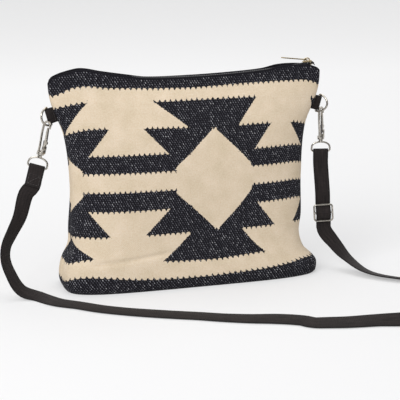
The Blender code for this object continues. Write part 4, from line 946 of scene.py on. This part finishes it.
tree.links.new(grain_relief.outputs[0], shader.inputs["Normal"])
lining_mesh.materials.append(plain)
inner_bag = link_object("inner_bag", lining_mesh)
sheet = inner_bag.modifiers.new("cloth_thickness", "SOLIDIFY")
sheet.thickness = LINING_THICK
sheet.offset = -1.0
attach(inner_bag, "root")
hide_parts("cotton_lining")


# The zip: a black cotton tape along each side of the mouth, sewn into the hem, with black moulded nylon teeth
# on a cord at its inner edge. The tape's herringbone is woven 1 mm wide and drawn 2 mm wide, and its twill
# lines 0.4 mm apart and drawn 0.8 mm apart, or they would blur.
ARC_CENTRE = joints["zip_slide"]["pos_m"][2]
ZIP_RADIUS = ARC_CENTRE - MOUTH_HEIGHT
ZIP_BELOW_EDGE = 0.6 * MM
ZIP_LEFT = -114 * MM
SLIDER_AT = 124 * MM
SLIDER_LENGTH = 8.6 * MM
END_CURL = 3 * MM
TAPE_LEFT = -121 * MM
TAPE_RIGHT = 131.2 * MM
TAPE_NEAR = 2.9 * MM
TAPE_THICK = 0.7 * MM
# the share of the hem's thickness that the tape is sewn into
TAPE_IN_HEM = 0.8
TAPE_LEAST_WIDTH = 0.8 * MM
TAPE_RISE = 0.1 * MM
TAPE_SAG = 0.5 * MM
TAPE_ROWS = 6
TAPE_STATIONS = 180
HERRINGBONE = 2 * MM
TWILL_SPACING = 0.8 * MM


def on_zip_arc(x, y, rise):
    """A point at a distance x along the zip, y across it and rise above the teeth's middle."""
    radius = ZIP_RADIUS + ZIP_BELOW_EDGE - rise
    angle = x / ZIP_RADIUS
    past = max(x - SLIDER_AT - SLIDER_LENGTH / 2, 0.0)
    return (radius * math.sin(angle), y, ARC_CENTRE - radius * math.cos(angle) - past * past / END_CURL)


def mouth_inside(x, inset):
    """Half the clear depth of the mouth at a distance from its middle, inside this much cloth."""
    half_width, half_depth, square = SECTIONS[-1][2:]
    return (half_depth - inset) * (1 - (abs(x) / (half_width - inset)) ** square) ** (1 / square)


tape, tree, shader = new_material("black_herringbone_tape", 0.9, Specular_IOR_Level=0.2)
place = add(tree, "ShaderNodeUVMap", {}, uv_map="tape")
split = add(tree, "ShaderNodeSeparateXYZ", {0: place})
leg = add(tree, "ShaderNodeMath", {0: split.outputs["Y"], 1: HERRINGBONE / 2}, operation="PINGPONG")
slanted = add(tree, "ShaderNodeMath", {0: split.outputs["X"], 1: leg}, operation="ADD")
twill = add(tree, "ShaderNodeMath", {0: slanted, 1: math.tau / TWILL_SPACING}, operation="MULTIPLY")
twill = add(tree, "ShaderNodeMath", {0: twill}, operation="SINE")
tone = add(tree, "ShaderNodeMapRange", {"Value": twill, "From Min": -1.0})
yarn = add(tree, "ShaderNodeMix", {"Factor": tone, 6: linear("#141416"), 7: linear("#26262a")},
           data_type="RGBA")
tree.links.new(yarn.outputs[2], shader.inputs["Base Color"])
relief = add(tree, "ShaderNodeBump", {"Height": twill, "Distance": 0.1 * MM, "Strength": 0.6})
tree.links.new(relief.outputs[0], shader.inputs["Normal"])

# Moulded nylon is smooth, with a soft gloss that flow marks about 2 mm long leave uneven.
FLOW_MARK = 2 * MM
nylon, tree, shader = new_material("black_moulded_nylon", 0.42, Specular_IOR_Level=0.45)
place = add(tree, "ShaderNodeTexCoord", {}).outputs["Object"]
flow = add(tree, "ShaderNodeTexNoise", {"Vector": place, "Scale": 1 / FLOW_MARK, "Detail": 2.0})
tone = add(tree, "ShaderNodeValToRGB", {"Fac": flow}, ramp=((0.0, "#131315"), (1.0, "#2b2b2e")))
tree.links.new(tone.outputs[0], shader.inputs["Base Color"])
gloss = add(tree, "ShaderNodeMapRange", {"Value": flow, "To Min": 0.3, "To Max": 0.55})
tree.links.new(gloss.outputs[0], shader.inputs["Roughness"])

# The teeth, moulded on the tape's edge. Each side's stand 2.25 mm apart, those of the other between them, and
# each has a neck and a wider head.
TOOTH_PITCH = 2.25 * MM
TOOTH_OUTLINE = ((2.6, 0.62), (1.3, 0.42), (0.5, 0.42), (0.1, 0.52), (-0.55, 0.52), (-0.75, 0.3))
TOOTH_HALF_THICK = 0.8 * MM
CORD_NEAR = 2.3 * MM
CORD_FAR = 3.1 * MM
CORD_HALF_THICK = 0.7 * TOOTH_HALF_THICK
for panel, side in (("front", -1), ("back", 1)):
    tape_shape = bmesh.new()
    cloth = tape_shape.loops.layers.uv.new("tape")
    rows, coords = [], {}
    for i in range(TAPE_STATIONS + 1):
        x = TAPE_LEFT + (TAPE_RIGHT - TAPE_LEFT) * i / TAPE_STATIONS
        far = max(mouth_inside(x, TAPE_IN_HEM * CLOTH_THICK), TAPE_NEAR + TAPE_LEAST_WIDTH)
        row = []
        for n in range(TAPE_ROWS + 1):
            share = n / TAPE_ROWS
            y = TAPE_NEAR + (far - TAPE_NEAR) * share
            corner = tape_shape.verts.new(on_zip_arc(x, side * y, TAPE_RISE - TAPE_SAG * share * share))
            coords[corner] = (x, y)
            row.append(corner)
        rows.append(row)
    for before, after in zip(rows, rows[1:]):
        for n in range(TAPE_ROWS):
            corners = (before[n], after[n], after[n + 1], before[n + 1])
            face = tape_shape.faces.new(corners if side > 0 else corners[::-1])
            face.smooth = True
            for loop in face.loops:
                loop[cloth].uv = coords[loop.vert]
    tape_mesh = bpy.data.meshes.new(panel + "_zip_tape")
    tape_shape.to_mesh(tape_mesh)
    tape_shape.free()
    tape_mesh.materials.append(tape)
    tape_piece = link_object(panel + "_zip_tape", tape_mesh)
    sheet = tape_piece.modifiers.new("tape_thickness", "SOLIDIFY")
    sheet.thickness = TAPE_THICK
    sheet.offset = -1.0
    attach(tape_piece, "root")
    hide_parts("zip_tape_" + panel)

    comb_shape = bmesh.new()
    first = ZIP_LEFT + (TOOTH_PITCH / 2 if side < 0 else 0.0)
    count = int((SLIDER_AT - first) / TOOTH_PITCH)
    blocks = []
    for k in range(count):
        x = first + (k + 0.5) * TOOTH_PITCH
        one_side = [(x - half * MM, y * MM) for y, half in TOOTH_OUTLINE]
        blocks.append((one_side + [(x + half * MM, y * MM) for y, half in reversed(TOOTH_OUTLINE)],
                       TOOTH_HALF_THICK))
        start, end = x - TOOTH_PITCH / 2, x + TOOTH_PITCH / 2
        cord = [(start, CORD_NEAR), (end, CORD_NEAR), (end, CORD_FAR), (start, CORD_FAR)]
        blocks.append((cord, CORD_HALF_THICK))
    for outline, half_thick in blocks:
        top = [comb_shape.verts.new(on_zip_arc(x, side * y, half_thick)) for x, y in outline]
        base = [comb_shape.verts.new(on_zip_arc(x, side * y, -half_thick)) for x, y in outline]
        comb_shape.faces.new(top)
        comb_shape.faces.new(base[::-1])
        for n in range(len(outline)):
            m = (n + 1) % len(outline)
            comb_shape.faces.new((top[n], base[n], base[m], top[m]))
    bmesh.ops.recalc_face_normals(comb_shape, faces=comb_shape.faces)
    comb_mesh = bpy.data.meshes.new(panel + "_zip_teeth")
    comb_shape.to_mesh(comb_mesh)
    comb_shape.free()
    comb_mesh.materials.append(nylon)
    comb_piece = link_object(panel + "_zip_teeth", comb_mesh)
    moulded = comb_piece.modifiers.new("moulded_edges", "BEVEL")
    moulded.width = 0.14 * MM
    moulded.segments = 2
    moulded.limit_method = "ANGLE"
    comb_mesh.shade_smooth()
    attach(comb_piece, "root")
    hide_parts("zip_comb_" + panel)

# The crimped stops, cut from flat nickel-plated wire and pinched on at both ends of the teeth.
for stop_name in ("zip_stop_bottom", "zip_stop_top_front", "zip_stop_top_back"):
    tumbled(stop_name, "crimped_" + stop_name, nickel, grain=0.12 * MM, rounds=4)

# The slider and its pull, die cast in zinc, tumbled smooth and plated in pale satin gold. The plating blurs
# what it mirrors and is a little cloudy, in clouds of about 2 mm.
PLATING_CLOUD = 2 * MM
gold, tree, shader = new_material("satin_pale_gold", 0.28, Metallic=1.0)
place = add(tree, "ShaderNodeTexCoord", {}).outputs["Object"]
cloudy = add(tree, "ShaderNodeTexNoise", {"Vector": place, "Scale": 1 / PLATING_CLOUD, "Detail": 3.0})
tone = add(tree, "ShaderNodeValToRGB", {"Fac": cloudy}, ramp=((0.35, "#b8a27a"), (0.68, "#dccda9")))
tree.links.new(tone.outputs[0], shader.inputs["Base Color"])
haze = add(tree, "ShaderNodeMapRange", {"Value": cloudy, "To Min": 0.2, "To Max": 0.36})
tree.links.new(haze.outputs[0], shader.inputs["Roughness"])
tumbled("zip_slider", "cast_zip_slider", gold, grain=0.12 * MM, rounds=5)
tumbled("zip_pull", "cast_zip_pull", gold, grain=0.12 * MM, rounds=5)


# The side tabs: short pieces of the same webbing, folded round each ring's bar and caught in the side seam
# with one row of stitches.
TAB_REACH = 7 * MM
TAB_SUNK = 2 * MM
TAB_HALF_WIDTH = 7.2 * MM
RING_WIRE = 1.1 * MM
ROUND_RING = RING_WIRE + WIRE_CLEARANCE + WEBBING_THICK / 2
TAB_ROW_INSET = 1.2 * MM
for side, out in (("left", -1), ("right", 1)):
    swing = joints[side + "_ring_swing"]
    local = frame_matrix(swing["pos_m"], (out, 0, 0), swing["axis"])
    seam = -TAB_REACH - TAB_SUNK
    path = [(seam, -LAYER_OFFSET), (-TAB_REACH + TAB_SUNK, -LAYER_OFFSET),
            (-ROUND_RING * 1.6, -LAYER_OFFSET * 1.2)]
    for i in range(13):
        angle = math.radians(-120 + 20 * i)
        path.append((ROUND_RING * math.cos(angle), ROUND_RING * math.sin(angle)))
    path += [(x, -y) for x, y in reversed(path[:3])]
    across = local.to_3x3() @ Vector((0, 0, 1))
    tab = webbing_band(side + "_webbing_tab", [(local @ Vector((x, y, 0)), across) for x, y in path],
                       2 * TAB_HALF_WIDTH, WEBBING_THICK)
    tab.data.materials.append(webbing)
    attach(tab, "root")
    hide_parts(side + "_tab")
    front = -out * (LAYER_OFFSET + WEBBING_THICK / 2)
    row_half = TAB_HALF_WIDTH - TAB_ROW_INSET
    ends = [local @ Vector((-TAB_REACH + STITCH_INSET, front, z)) for z in (-row_half, row_half)]
    stitching(side + "_tab_stitches", [(*ends, Vector((0, -1, 0)))], "root")

# The D-rings of welded wire, the cast snap hooks and their gates, and the swivel eyes riveted into the hooks:
# all nickel plated and tumbled smooth. The gates' pins and leaf springs are bare spring steel, brushed along
# their length by drawing.
for side in ("left", "right"):
    tumbled(side + "_d_ring", side + "_wire_d_ring", nickel, grain=0.22 * MM, rounds=5)
    tumbled(side + "_hook", side + "_cast_hook", nickel, grain=0.2 * MM, rounds=6)
    tumbled(side + "_gate", side + "_cast_gate", nickel, grain=0.16 * MM, rounds=4)
    tumbled(side + "_swivel_eye", side + "_wire_swivel_eye", nickel, grain=0.2 * MM, rounds=5)
DRAW_LINE_WIDTH = 0.25 * MM
DRAW_LINE_LENGTH = 3.3333 * MM
steel, tree, shader = new_material("brushed_spring_steel", 0.35, Metallic=1.0)
place = add(tree, "ShaderNodeTexCoord", {}).outputs["Object"]
line_size = (1 / DRAW_LINE_WIDTH, 1 / DRAW_LINE_WIDTH, 1 / DRAW_LINE_LENGTH)
drawn_out = add(tree, "ShaderNodeMapping", {"Vector": place, "Scale": line_size})
brushed = add(tree, "ShaderNodeTexNoise", {"Vector": drawn_out, "Scale": 1.0, "Detail": 2.0})
tone = add(tree, "ShaderNodeValToRGB", {"Fac": brushed}, ramp=((0.0, "#77757a"), (1.0, "#b5b3b6")))
tree.links.new(tone.outputs[0], shader.inputs["Base Color"])
for side in ("left", "right"):
    leaf = link_object(side + "_leaf_spring", frame["nodes"][side + "_gate_spring"].data.copy())
    for bare in (frame["nodes"][side + "_gate_pin"], leaf):
        bare.data.materials.clear()
        bare.data.materials.append(steel)
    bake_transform(leaf)
    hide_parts(side + "_gate_spring")
